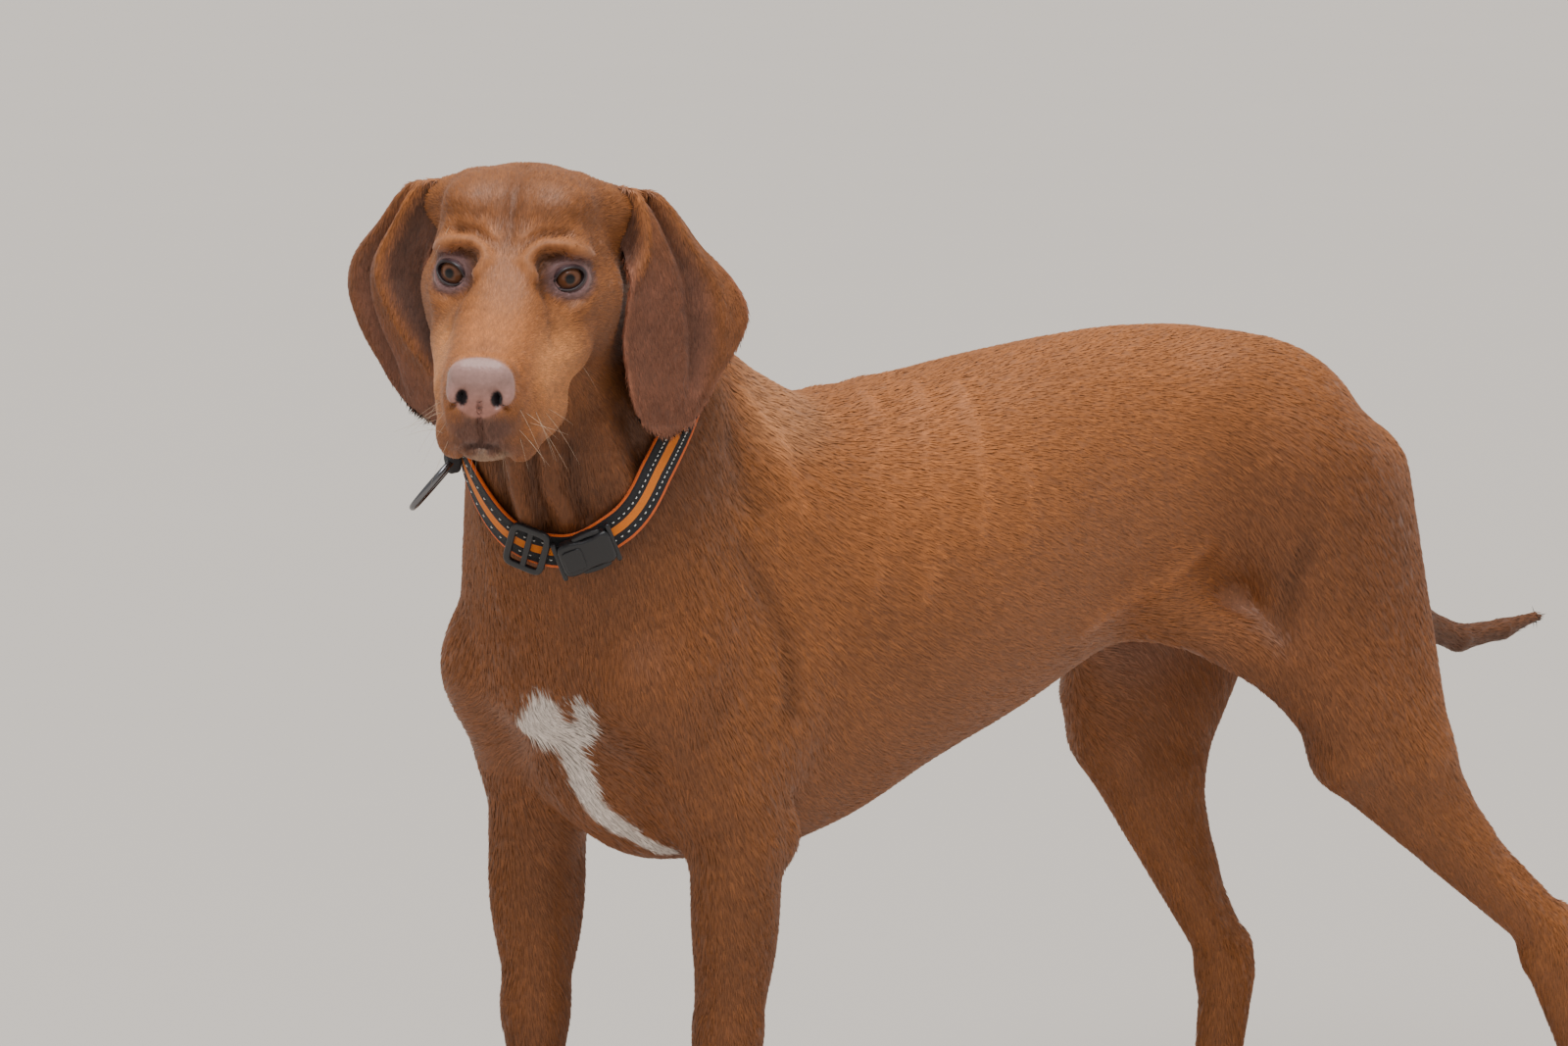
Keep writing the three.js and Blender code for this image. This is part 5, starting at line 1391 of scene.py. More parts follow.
def build_lids(look):
    """Lid edges: rings round an almond opening, carried from under the eyeball out over a rounded rim."""
    moist = grained_finish("lid", None, 0.34, 900.0, 0.35, 0.0001)
    spin = circle(120)
    x, y = 7.7 * np.cos(spin), 5.3 * np.sign(np.sin(spin)) * np.abs(np.sin(spin)) ** 1.1
    y = y + 0.16 * x - 0.5 * bell(x + 8.4, 2.5)
    for side, name in SIDES:
        eye, sight, across, up = gaze(side)
        sections = []
        for grow, r in LID_PROFILE:
            gx, gy = x * grow, y * grow
            ahead = np.sqrt(np.maximum(r**2 - gx**2 - gy**2, 4))
            sections.append(eye + gx[:, None] * across + gy[:, None] * up + ahead[:, None] * sight)
        p = from_head(np.concatenate(sections))
        faces = faced_from(from_head(eye), p, grid_faces(len(LID_PROFILE), len(spin)))
        obj = mesh_object(f"eyelid_{name}", p, faces)
        outward = np.repeat(step01(np.array([grow for grow, _ in LID_PROFILE]), 1.17, 1.45), len(spin))
        tint = mix(np.repeat(np.array(look.rim)[None], len(p), 0), look.lid, outward)
        attribute(obj, "tint", "FLOAT_COLOR", opaque(tint))
        place_piece(obj, moist, "nose_skin")


def paws():
    """Each paw's middle, and the size of its toes."""
    for side, (shift, _, wrist) in FORELEGS.items():
        yield side * (wrist + 1), -25 + shift, 1.0
    for side, (_, _, toe) in HINDLEGS.items():
        yield side * toe[0], toe[1] - 2, 0.93


def build_claws(look):
    """Curved cones: radius falls as (1 - t)^0.7 along a line that bends down by t^2."""
    t = np.linspace(0, 1, 12)[:, None, None]
    spin = circle(14)[None, :, None]
    parts = []
    for x, y, k in paws():
        for a, b, _ in TOES:
            ahead = unit(np.array([a * 0.006, -0.883, -0.40]))
            side = unit(np.cross(ahead, [0, 0, 1.0]))
            top = np.cross(side, ahead)
            start = np.array([x + a * k, y + (b - 14) * k, 9.5 * k]) - ahead * 7
            r = 3.0 * k * (1 - t) ** 0.7 + 0.15
            line = start + ahead * t * 13.0 * k - np.array([0, 0, 1.0]) * 1.2 * t**2
            parts.append(tube(line + r * (0.78 * np.cos(spin) * side + np.sin(spin) * top)))
    p, faces = merged(parts)
    p[:, 2] = np.maximum(p[:, 2], 0.5)
    obj = mesh_object("claws", p, faces)
    place_piece(obj, grained_finish("claw", tuple(look.claw), 0.38, 300.0, 0.7, 0.0001))


def build_whiskers(look):
    """Fine tapered hairs in rows on the lips, with a few over the eyes, on the cheeks and under the chin."""
    rng = np.random.default_rng(11)
    roots = [(s * (19 + 0.6 * j), 92 - 10 * i, -46 - 8 * j)
             for s in (1, -1) for i in range(4) for j in range(3)]
    roots += [(s * x, y, z) for x, y, z in ((34, -2, 25), (38, -6, -48)) for s in (1, -1)]
    roots += [(x, 84, -74) for x in (-8, -3, 4, 9)]
    roots = np.array(roots, float) + rng.normal(size=(len(roots), 3)) * 2.2
    roots = settle(FINE, from_head(roots), 6, level=-0.8)
    normal = unit(slope(FINE, roots)[0])
    back, down = -HEAD[:, 1], np.array([0, 0, -1.0])
    parts = []
    t = np.linspace(0, 1, 10)[:, None, None]
    spin = circle(4)[None, :, None]
    for root, n in zip(roots, normal):
        length = rng.uniform(12, 27) if root[2] > 560 else rng.uniform(9, 18)
        way = n * 0.8 + back * rng.uniform(0.0, 0.9) + down * rng.uniform(0.2, 1.3)
        way = unit(way + rng.normal(size=3) * 0.22)
        side = unit(np.cross(way, [0.3, 0.2, 1.0]))
        line = root + way * t * length + down * (t * length) ** 2 * rng.uniform(0.002, 0.012)
        r = 0.07 * (1 - t) ** 0.8 + 0.02
        parts.append(tube(line + r * (np.cos(spin) * side + np.sin(spin) * np.cross(side, way))))
    obj = mesh_object("whiskers", *merged(parts))
    place_piece(obj, grained_finish("whisker", tuple(look.whisker), 0.4, 500.0, 0.2, 0.00005))


# ---------------------------------------------------------------- skin and coat

def build_skin(look):
    v, t, normal = skin_surface()
    h = to_head(v)
    obj = mesh_object("skin", v, t)
    lips = around(h, (0, 101, -61.5), (14, 12, 3.5), 0.8)
    bare = np.maximum.reduce([nose_mask(h), eye_mask(h, 1.4), pad_mask(v) * (v[:, 2] < 9), lips])
    attribute(obj, "tint", "FLOAT_COLOR", opaque(markings_and_painted_light(v, look) * (1 - 0.12 * (1 - bare))[:, None]))
    attribute(obj, "bare", "FLOAT", bare)
    attribute(obj, "upright", "FLOAT", np.abs(lie(v, normal)[:, 2]))
    legs = [f"{pair}leg_{side}_{level}" for pair in ("fore", "hind") for side in ("left", "right")
            for level in ("upper", "lower", "paw")]
    fur = fur_skin("coat_skin", 0.0004, 1.0)
    place_piece(obj, fur, "coat", "head", "nose", "neck", "trunk", "tail", *legs)


def tuft_size(p):
    """Length and half width of the tufts, in millimetres: shorter on the legs, neck, paws and face."""
    h = to_head(p)
    length = np.full(len(p), 8.5)
    length = np.where(p[:, 2] < 290, 6.5, length)
    length = np.where((p[:, 1] < -60) & (p[:, 2] > 430), 7.0, length)
    length = np.where((p[:, 1] > 565) & (p[:, 2] > 300), 8.0, length)
    length = length - 2.6 * (1 - step01(p[:, 2], 20, 75))
    inside = (p[:, 2] > 545) & (h[:, 1] > -115)
    face = around(h, (0, 55, -30), (46, 70, 55), 0.6)
    length = np.where(inside, 4.2 + 2.8 * step01(-h[:, 1], 40, 110) - 1.4 * face, length)
    return length, 0.088 * length + 0.04


def region_names(p):
    """Which piece of coat a tuft belongs to."""
    names = np.where(p[:, 0] >= 0, "trunk_left", "trunk_right").astype("<U14")
    front = p[:, 1] < 60
    names[(p[:, 1] < 10) & (p[:, 2] > 400)] = "neck"
    leg = (p[:, 2] < 300) & front
    names[leg & (p[:, 0] > 0)], names[leg & (p[:, 0] <= 0)] = "foreleg_left", "foreleg_right"
    leg = (p[:, 2] < 380) & (p[:, 1] > 330)
    names[leg & (p[:, 0] > 0)], names[leg & (p[:, 0] <= 0)] = "hindleg_left", "hindleg_right"
    names[(p[:, 1] > 560) & (p[:, 2] > 300) & (np.abs(p[:, 0]) < 30)] = "tail"
    names[(p - np.array([30, -105, 605])) @ np.array([0.17, -0.66, 0.73]) > 0] = "head"
    return names


LEG_HEIGHTS = [0, 40, 170, 304, 420]
LEG_MIDDLES = {  # how far back each leg's middle line is at those heights
    "foreleg_left": [-40, -35, -25, -20, 0], "foreleg_right": [-40, -35, -25, -20, 0],
    "hindleg_left": [670, 682, 621, 452, 440], "hindleg_right": [480, 492, 504, 398, 430],
}


def unwrap(name, p):
    """Place of each root on a flat unwrap of its region: angle about the region's axis, and way along it."""
    x, y, z = p.T
    if name == "head":
        h = to_head(p)
        angle, along = np.arctan2(h[:, 0], h[:, 2] + 18), (h[:, 1] + 110) / 230
    elif name.startswith("trunk"):
        angle, along = 2 * np.abs(np.arctan2(x, 440 - z)) - np.pi, (y + 110) / 700
    elif name == "neck":
        angle, along = np.arctan2(x - 5, -(y + 40) + 0.84 * (z - 500)), (z - 390) / 290
    elif name == "tail":
        middle = np.interp(y, [560, 606, 648, 740], [420, 358, 342, 347])
        angle, along = np.arctan2(x, z - middle), (y - 550) / 210
    else:
        out = 60 if name.startswith("fore") else np.interp(z, [0, 170, 304], [100, 98, 75])
        out = out if name.endswith("left") else -out
        angle, along = np.arctan2(x - out, y - np.interp(z, LEG_HEIGHTS, LEG_MIDDLES[name])), z / 420
    return np.stack([0.5 + 0.94 * angle / (2 * np.pi), 0.03 + 0.94 * np.clip(along, 0, 1)], 1)


def scattered(v, t, count, weight, rng):
    """Random points on triangles, as many as their area times the weight at their middle asks."""
    a, b, c = (v[t[:, i]] for i in range(3))
    share = np.linalg.norm(np.cross(b - a, c - a), axis=1) * weight((a + b + c) / 3)
    pick = rng.choice(len(t), count, p=share / share.sum())
    r = np.sqrt(rng.random((count, 1)))
    s = rng.random((count, 1))
    return (1 - r) * a[pick] + r * (1 - s) * b[pick] + r * s * c[pick], pick


PIECE_TUFTS = 48000  # at most, in one object
TUFT_FACES = np.array([[0, 2, 3], [2, 1, 3], [1, 0, 3], [0, 1, 2]])
# painted shade at the tufts' roots and a painted highlight at their tips
TUFT_ROOT_SHADE_TIP_LIGHT = np.array([0.86, 0.86, 1.0, 1.10])  # at the two root corners, the ridge and the tip
TUFT_LEANS = np.array([-0.25, 0.25, 0.0, 0.0])  # of the normals at the same four points
TUFT_UV = np.array([[-1, -1], [1, -1], [0, 0], [0, 1]]) * 0.0015


def tuft_mesh(root, way, normal, length, half, lift, rng):
    """Thin wedges: two root corners sunk in the skin, a low ridge over the root, and a tip just off it."""
    n = len(root)
    way = unit(way + np.cross(normal, way) * 0.13 * rng.normal(size=(n, 1)))
    side = np.cross(normal, way)
    length, half, lift = length[:, None], half[:, None], lift[:, None]
    sunk = root - normal * 0.35
    ridge = root + way * (0.3 * length) + normal * (0.30 * lift + 0.16)
    tip = root + way * length + normal * lift
    p = np.stack([sunk - side * half, sunk + side * half, ridge, tip], 1).reshape(-1, 3)
    return p, (4 * np.arange(n)[:, None, None] + TUFT_FACES).reshape(-1, 3), way, side


def corner_points(obj):
    """Number of the vertex at each corner of the mesh's faces."""
    index = np.empty(len(obj.data.loops), np.int32)
    obj.data.loops.foreach_get("vertex_index", index)
    return index


def lay_uv(obj, name, uv):
    obj.data.uv_layers.new(name=name).data.foreach_set("uv", uv.astype(np.float32).ravel())


def coat_piece(name, slot, root, way, normal, tint, uv, length, half, lift, rng):
    """One object of tufts, with its tint, its slightly uneven normals and its unwrap."""
    count = len(root)
    p, faces, way, side = tuft_mesh(root, way, normal, length, half, lift, rng)
    obj = mesh_object(name, p, faced_from(p[:4].mean(0), p, faces, 4))
    strength = 0.13 if name.startswith("coat_head") else 0.09
    clump = 1 + strength * (ripple(root, 1.7, 21) + ripple(root, 0.8, 22))
    # random tone in clumps and per tuft, times painted shade at the roots and a painted highlight at the tips
    shade = clump[:, None, None] * rng.normal(1.0, 0.10, (count, 1, 1)) * TUFT_ROOT_SHADE_TIP_LIGHT[:, None]
    attribute(obj, "tint", "FLOAT_COLOR", opaque(np.clip(tint[:, None] * shade, 0, 1)))
    side, way = side[:, None], way[:, None]
    tilt = rng.normal(0, 0.11, (count, 1, 1)) * side + rng.normal(0, 0.05, (count, 1, 1)) * way
    lean = unit(normal[:, None] + tilt + TUFT_LEANS[:, None] * side)
    obj.data.normals_split_custom_set_from_vertices(lean.reshape(-1, 3).astype(np.float32))
    lay_uv(obj, "OFBake", (uv[:, None] + TUFT_UV).reshape(-1, 2)[corner_points(obj)])
    place_piece(obj, tuft_coat("tufts"), slot)


def build_coat(look):
    """Tufts on the skin, then on the ears; every root is random and every tip is set at the coat's depth."""
    rng = np.random.default_rng(5)
    v, t, normal = skin_surface()
    count = int(look.tufts * (1.0))

    def weight(p):
        length, half = tuft_size(p)
        h = to_head(p)
        bare = np.maximum.reduce([nose_mask(h), eye_mask(h, 1.25), pad_mask(p)])
        return (1 - np.minimum(bare, 1)) / (length * half)

    root, pick = scattered(v, t, count, weight, rng)
    n = unit(normal[t[pick]].mean(1))
    way = lie(root, n)
    length, half = tuft_size(root)
    half = half
    length = length * rng.uniform(0.75, 1.2, len(root)) * look.length
    lift = 0.62 * np.maximum(coat_depth(root), 0.3) * rng.uniform(0.6, 1.3, len(root))
    tip = root + way * length[:, None]
    lift = lift - np.clip(field(FINE, tip) + coat_depth(tip) - body_relief(tip, to_head(tip)), -4, 4)
    tint = markings_and_painted_light(root, look)
    names = region_names(root)
    for name in sorted(set(names)):
        where = np.nonzero(names == name)[0]
        pieces = max(1, math.ceil(len(where) / PIECE_TUFTS))
        for i in range(pieces):
            part = where[i::pieces]
            label = f"coat_{name}_{i + 1}" if pieces > 1 else f"coat_{name}"
            coat_piece(label, "coat", root[part], way[part], n[part], tint[part], unwrap(name, root[part]),
                       length[part], half[part], lift[part], rng)
    ear_coats(int(look.tufts * 0.075 * (1.0)), look, rng)


def ear_coats(count, look, rng):
    """Silky tufts down both faces and round the edges of the ears."""
    for side, name in SIDES:
        p, faces, normal, place = ear_surface(side)
        root, pick = scattered(p, faces, count, lambda q: np.ones(len(q)), rng)
        n = unit(normal[faces[pick]].mean(1))
        way = np.array([[0.0, 0.0, -1.0]]) - 0.25 * HEAD[:, 1]
        way = unit(way - (way * n).sum(1, keepdims=True) * n)
        length = rng.uniform(3.6, 6.2, count)
        lift = rng.uniform(0.2, 0.55, count)
        h = to_head(root)
        inner = n @ HEAD[:, 0] * side < 0
        uv = np.stack([0.25 + 0.5 * inner + (h[:, 1] + 70) / 240, (h[:, 2] + 110) / 160], 1)
        tint = ear_tint(root, place[faces[pick]].mean(1), side, look)
        coat_piece(f"coat_ear_{name}", "ear_coat", root, way, n, tint, np.clip(uv, 0.02, 0.98), length,
                   np.full(count, 0.42), lift, rng)


# ---------------------------------------------------------------- collar

ROUTE = [  # direction in degrees, height of the strap
    (-110, 562), (-89, 531), (-77, 497), (-66, 488.5), (-54, 500), (-34, 531),
    (-10, 557), (30, 584), (90, 598), (150, 600), (210, 590)]
SLIDER_AT, CLASP_AT, RING_AT = -73.0, -62.0, -92.0  # directions in degrees
STRAP_GAP = 0.8  # between the strap and the skin's level, in millimetres
FLAT, UP = (1.0, 0.0, 0.0), (0.0, 0.0, 1.0)  # along the strap, and out from it, for parts made lying flat


@functools.lru_cache(None)
def route_height():
    """Curve of the strap's height over the direction, repeated all round."""
    turns = [(a + turned, z) for turned in (-360, 0, 360) for a, z in ROUTE]
    return smooth_curve(*zip(*turns))


def collar_points(degrees):
    """Where rays from the neck's middle line meet the skin at the collar's height."""
    degrees = np.asarray(degrees, float)
    z = route_height()((degrees + 110) % 360 - 110)
    start = np.stack([6 + 0.24 * (z - 500), -18 - 0.84 * (z - 500), z], 1)
    a = np.radians(degrees)
    out = np.stack([np.cos(a), np.sin(a), 0 * a], 1)
    t = np.arange(10.0, 170.0, 1.0)
    p = start[:, None] + t[None, :, None] * out[:, None]
    d = field(PLAIN, p.reshape(-1, 3)).reshape(len(degrees), -1)
    first = np.argmax(d > 0, 1)
    i = np.arange(len(degrees))
    d0, d1 = d[i, first - 1], d[i, first]
    return start + (t[first] - d1 / (d1 - d0))[:, None] * out


def collar_frames(degrees):
    """Point on the skin, direction along the strap, across it (upwards) and out."""
    degrees = np.asarray(degrees, float)
    at = collar_points(degrees)
    out = unit(slope(PLAIN, at, 1.0)[0])
    along = collar_points(degrees + 2) - collar_points(degrees - 2)
    along = unit(along - (along * out).sum(1, keepdims=True) * out)
    return at, along, np.cross(out, along), out


def on_strap(degrees, lift, q):
    """Points given along, across and out from the strap's outer face, carried to the body."""
    at, along, across, out = (f[0] for f in collar_frames([degrees]))
    return at + q[..., :1] * along + q[..., 1:2] * across + (q[..., 2:] + lift) * out


def superellipse(count, a, b, power):
    """Points round a curve of half sizes a and b: each is sign x |cosine or sine|^power."""
    x, y = np.cos(circle(count)), np.sin(circle(count))
    return a * np.sign(x) * np.abs(x) ** power, b * np.sign(y) * np.abs(y) ** power


def rounded_bar(points, side, top, a, b, closed=True, corners=20, power=0.5):
    """Bar along a line of points: sections are superellipses of half sizes a across (side) and b up (top)."""
    u, v = superellipse(corners, a, b, power)
    side, top = (np.broadcast_to(np.array(way, float), points.shape) for way in (side, top))
    sections = points[:, None] + u[None, :, None] * side[:, None] + v[None, :, None] * top[:, None]
    if not closed:  # round the ends off
        ends = []
        for end, step in ((0, 1), (-1, -1)):
            middle, way = points[end], unit(points[end] - points[end + step])
            ends.append([middle + (sections[end] - middle) * np.cos(g) ** 0.6 + way * b * 0.9 * np.sin(g)
                         for g in np.linspace(0, 1, 6)[1:5] * np.pi / 2])
        sections = np.concatenate([np.array(ends[0][::-1]), sections, np.array(ends[1])])
    return tube(sections, closed)


def flat_bar(x, y, z, side, a, b):
    """Open bar through the points (x, y, z) of a part made lying flat."""
    return rounded_bar(np.stack(np.broadcast_arrays(x, y, z), 1).astype(float), side, UP, a, b, False)


def slab(length, across, thick, corner, power=0.35):
    """Rounded plate (x along, y across, z up from 0): outlines drawn in towards its top and bottom."""
    x, y = superellipse(72, length / 2, across / 2, power)
    angle = np.linspace(-np.pi / 2, np.pi / 2, 26)[1:-1, None]
    inset = corner * (1 - np.cos(angle))
    height = thick / 2 + np.sign(np.sin(angle)) * (thick / 2 - corner * (1 - np.abs(np.sin(angle))))
    return np.stack([x * (1 - inset / (length / 2)), y * (1 - inset / (across / 2)), height + 0 * x], -1)


def build_strap(collar):
    """Flat webbing: rounded section (across, level) settled at each station to its level above the skin."""
    stations, outer, inner = 300, 17, 9  # points along the strap, and across its two faces
    width, thick = collar.width / MM, collar.thick / MM
    at, _, across, _ = collar_frames(np.linspace(0, 360, stations, endpoint=False))
    v = np.concatenate([np.linspace(0.01, 0.99, outer), np.linspace(0.99, 0.01, inner)])
    level = np.repeat([STRAP_GAP + thick, STRAP_GAP], [outer, inner])
    level[[0, outer - 1]] -= thick / 4
    level[[outer, -1]] += thick / 4
    level[1:outer - 1] += 0.12 * np.cos(np.linspace(0, 6 * np.pi, outer - 2))
    q = at[:, None] + ((v - 0.5) * width)[None, :, None] * across[:, None]
    q = settle(PLAIN, q.reshape(-1, 3), 5, level=np.tile(level, stations)).reshape(q.shape)
    obj = mesh_object("strap", *tube(q, True))
    run = np.concatenate([[0], np.cumsum(np.linalg.norm(np.roll(at, -1, 0) - at, axis=1))]) / width
    row, column = np.divmod(corner_points(obj), len(v))
    row = row.reshape(-1, 4)
    row = np.where((row.max(1, keepdims=True) == stations - 1) & (row == 0), stations, row).ravel()
    lay_uv(obj, "strap", np.stack([run[row], v[column]], 1))
    place_piece(obj, webbing_finish(collar), "webbing", "collar_strap")


def build_stitches(collar):
    """Two rows of thread, a dash every 2.7 mm: short rounded dashes laid along the strap."""
    count, half, top = 194, 0.7, collar.thick / MM + STRAP_GAP + 0.1
    at, along, across, out = collar_frames(np.linspace(0, 360, count, endpoint=False))
    spin = circle(6)[None, :, None]
    parts = []
    for v in (0.255, 0.735):
        middle = at + (v - 0.5) * collar.width / MM * across
        start, end = (settle(PLAIN, middle + way * half * along, 4, level=top) for way in (-1, 1))
        crown = (start + end) / 2 + out * 0.3
        for a, m, b, s, n in zip(start, crown, end, across, out):
            line = np.array([a - n * 0.4, a * 0.8 + m * 0.2, m, b * 0.8 + m * 0.2, b - n * 0.4])
            parts.append(tube(line[:, None] + 0.34 * (np.cos(spin) * s + 0.8 * np.sin(spin) * n)))
    obj = mesh_object("stitches", *merged(parts))
    place_piece(obj, grained_finish("thread", tuple(collar.thread), 0.7, 900.0, 0.3, 0.0001))


def plastic(collar):
    return grained_finish("moulded_plastic", tuple(collar.plastic), 0.34, 700.0, 0.25, 0.00006)


def strap_part(name, parts, degrees, lift):
    """A part made lying flat, set on the strap at a direction."""
    p, faces = merged(parts)
    p = on_strap(degrees, lift, p)
    return mesh_object(name, p, face_out(p, faces))


def build_slider(collar):
    """Frame that gathers the strap: a rounded rectangle of bar with a crossbar."""
    a, b, level = 10.0, 12.5, 1.7
    x, y = superellipse(96, a, b, 0.3)
    path = np.stack([x, y, 0 * x + level], 1)
    way = unit(np.roll(path, -1, 0) - np.roll(path, 1, 0))
    parts = [rounded_bar(path, np.cross(way, UP), UP, 1.9, 1.6),
             flat_bar(0, np.linspace(-b + 1, b - 1, 12), level, FLAT, 1.7, 1.4)]
    obj = strap_part("slider", parts, SLIDER_AT, collar.thick / MM + 1.4)
    place_piece(obj, plastic(collar), "buckle_plastic", "collar_slider")


def build_clasp(collar):
    """Side-squeeze clasp: a waisted socket with a ridge, two springy arms and a bar at each end."""
    body = slab(30, 21, 7.4, 2.2)
    body[..., 1] *= (1 - 0.20 * bell(body[..., 0] - 3, 6.5))
    body[..., 2] += 0.5 * np.cos(body[..., 0] / 15 * np.pi / 2)
    ridge = slab(11, 13, 1.4, 0.6) + [-7.5, 0, 7.2]
    parts = [tube(body), tube(ridge)]
    arm = np.linspace(-3.5, 9.0, 16)
    for s in (1, -1):
        parts.append(flat_bar(arm, s * (9.0 + 1.6 * np.cos((arm - 3) / 7.5)), 3.8, (0.0, 1.0, 0.0), 1.7, 2.3))
    for x in (-15.5, 15.5):
        parts.append(flat_bar(x, np.linspace(-10, 10, 10), 3.2, FLAT, 1.4, 2.2))
    obj = strap_part("clasp", parts, CLASP_AT, collar.thick / MM + 1.6)
    place_piece(obj, plastic(collar), "buckle_plastic", "collar_clasp")


def build_ring(collar):
    """Stretched ring of round wire: path (R cos a, 1.45 R sin a) hanging from the strap."""
    wire, radius, stretch = 1.9, collar.ring / MM, 1.45
    down = unit(np.array([-0.44, -0.48, -0.76]))
    flat = np.array([0.739, -0.656, 0.152])
    flat = unit(flat - (flat @ down) * down)
    at, _, _, out = (f[0] for f in collar_frames([RING_AT]))
    centre = at + out * (collar.thick / MM + STRAP_GAP + 0.3 + wire + 0.6) + down * radius * stretch
    spin = circle(120)[:, None]
    path = centre + radius * (np.cos(spin) * flat + stretch * np.sin(spin) * down)
    way = unit(np.roll(path, -1, 0) - np.roll(path, 1, 0))
    top = np.cross(flat, down)
    obj = mesh_object("ring", *rounded_bar(path, np.cross(way, top), top, wire, wire, corners=18, power=1.0))
    steel = grained_finish("steel", tuple(collar.steel), 0.24, 1500.0, 0.08, 0.00001, metallic=1.0)
    place_piece(obj, steel, "ring_steel", "collar_ring")


def build_keeper(collar):
    """Folded loop of webbing that holds the ring."""
    obj = strap_part("keeper", [tube(slab(12, 18, 8.0, 2.6, power=0.3))], RING_AT, collar.thick / MM + 1.5)
    cloth = grained_finish("keeper_webbing", tuple(collar.webbing), 0.8, 1200.0, 0.6, 0.0003)
    place_piece(obj, cloth, "webbing", "collar_keeper")


# ---------------------------------------------------------------- stage

def lamp(name, kind, place, target, energy, colour, **settings):
    """A lamp placed from its target in metres and turned towards it."""
    data = bpy.data.lights.new(name, kind)
    data.energy, data.color = energy, colour
    for key, value in settings.items():
        setattr(data, key, value)
    obj = bpy.data.objects.new(name, data)
    bpy.context.scene.collection.objects.link(obj)
    obj.location = target + np.array(place)
    aim(obj, target)


def build_stage(stage):
    """Pale floor, even sky, a soft light above and one in front, and the camera."""
    scene = bpy.context.scene
    radius, corners = 60.0, 96
    mesh = bpy.data.meshes.new("floor")
    points = [(radius * math.cos(a), radius * math.sin(a), 0.0) for a in circle(corners)]
    mesh.from_pydata(points, [], [list(range(corners))])
    paper = grained_finish("floor_paper", tuple(stage.floor), 0.85, 3.0, 0.03, 0.0001, specular=0.2)
    mesh.materials.append(paper)
    floor = bpy.data.objects.new("floor", mesh)
    scene.collection.objects.link(floor)

    scene.world = bpy.data.worlds.new("studio")
    scene.world.use_nodes = True
    back = scene.world.node_tree.nodes["Background"]
    back.inputs["Color"].default_value = (*stage.sky, 1)
    back.inputs["Strength"].default_value = stage.sky_strength

    middle = to_part([-10.0, 150.0, 400.0])
    lamp("soft_top_light", "SUN", (0.55, -0.35, 3.0), middle, stage.top_strength, (1.0, 0.985, 0.96),
         angle=1.0)
    lamp("front_light", "AREA", (1.6, -1.9, 2.8), middle, stage.fill_power, (0.84, 0.91, 1.0),
         shape="DISK", size=1.1)

    data = bpy.data.cameras.new("camera")
    data.lens, data.sensor_width, data.clip_end = stage.lens, 36.0, 200.0
    camera = bpy.data.objects.new("camera", data)
    scene.collection.objects.link(camera)
    camera.location = to_part([2617.8, -2248.8, 1014.2])
    aim(camera, to_part([-43.3, 114.0, 465.5]))
    scene.camera = camera


def aim(obj, target):
    """Turns a lamp or camera so that its -Z axis points at the target and its Y axis stays up."""
    back = unit(np.array(obj.location) - np.asarray(target))
    right = unit(np.cross([0, 0, 1.0], back))
    up = np.cross(back, right)
    obj.rotation_mode = "QUATERNION"
    obj.rotation_quaternion = Matrix(np.stack([right, up, back], 1).tolist()).to_quaternion()


# ---------------------------------------------------------------- add-on

def colour_property(name, description, default):
    return FloatVectorProperty(name=name, description=description, default=default, subtype="COLOR", size=3,
                               min=0.0, max=1.0)


def number_property(name, description, default, low=0.0, unit="NONE"):
    return FloatProperty(name=name, description=description, default=default, min=low, unit=unit)


def length_property(name, description, default):
    return number_property(name, description, default, unit="LENGTH")


class DOG_PG_look(bpy.types.PropertyGroup):
    """Colours and coat of the dog."""
    coat: colour_property("Coat", "Main coat colour", (0.262, 0.088, 0.0225))
    face: colour_property("Face", "Lighter tan of the head", (0.335, 0.117, 0.034))
    # the deep colour is also used for painted shade and painted shadow on the throat, thighs, lower legs,
    # breast and in the face's creases
    deep_and_shade: colour_property("Deep", "Darker rust of the legs and throat", (0.185, 0.060, 0.017))
    ear: colour_property("Ears", "Dark ear hair", (0.205, 0.077, 0.042))
    belly: colour_property("Belly", "Thinly haired skin of the groin", (0.33, 0.17, 0.12))
    patch: colour_property("Patch", "White chest mark", (0.74, 0.64, 0.57))
    lips: colour_property("Lips", "Dark skin between the nostrils and along the lips", (0.12, 0.06, 0.05))
    lid: colour_property("Lids", "Skin round the eyes", (0.165, 0.095, 0.100))
    rim: colour_property("Eye rims", "Dark edge of the lids", (0.022, 0.012, 0.014))
    nose: colour_property("Nose", "Nose leather", (0.33, 0.19, 0.165))
    pads: colour_property("Pads", "Pads under the paws", (0.09, 0.05, 0.045))
    iris: colour_property("Iris", "Colour of the eyes", (0.135, 0.052, 0.024))
    claw: colour_property("Claws", "Horn of the claws", (0.13, 0.075, 0.05))
    whisker: colour_property("Whiskers", "Colour of the whiskers", (0.5, 0.37, 0.26))
    length: number_property("Hair length", "Factor on the length of the tufts", 1.0, 0.1)
    tufts: IntProperty(name="Tufts", description="How many tufts the coat has", default=290000, min=100)


class DOG_PG_collar(bpy.types.PropertyGroup):
    """Sizes and colours of the collar."""
    width: length_property("Width", "Width of the strap", 0.021)
    thick: length_property("Thickness", "Thickness of the strap", 0.0026)
    ring: length_property("Ring radius", "Half the inner width of the ring", 0.0125)
    webbing: colour_property("Webbing", "Dark webbing", (0.014, 0.014, 0.017))
    stripe: colour_property("Stripe", "Bright stripe and lining", (0.95, 0.24, 0.012))
    thread: colour_property("Thread", "Pale stitching", (0.75, 0.73, 0.68))
    plastic: colour_property("Plastic", "Slider and clasp", (0.012, 0.012, 0.014))
    steel: colour_property("Steel", "Ring", (0.17, 0.17, 0.18))


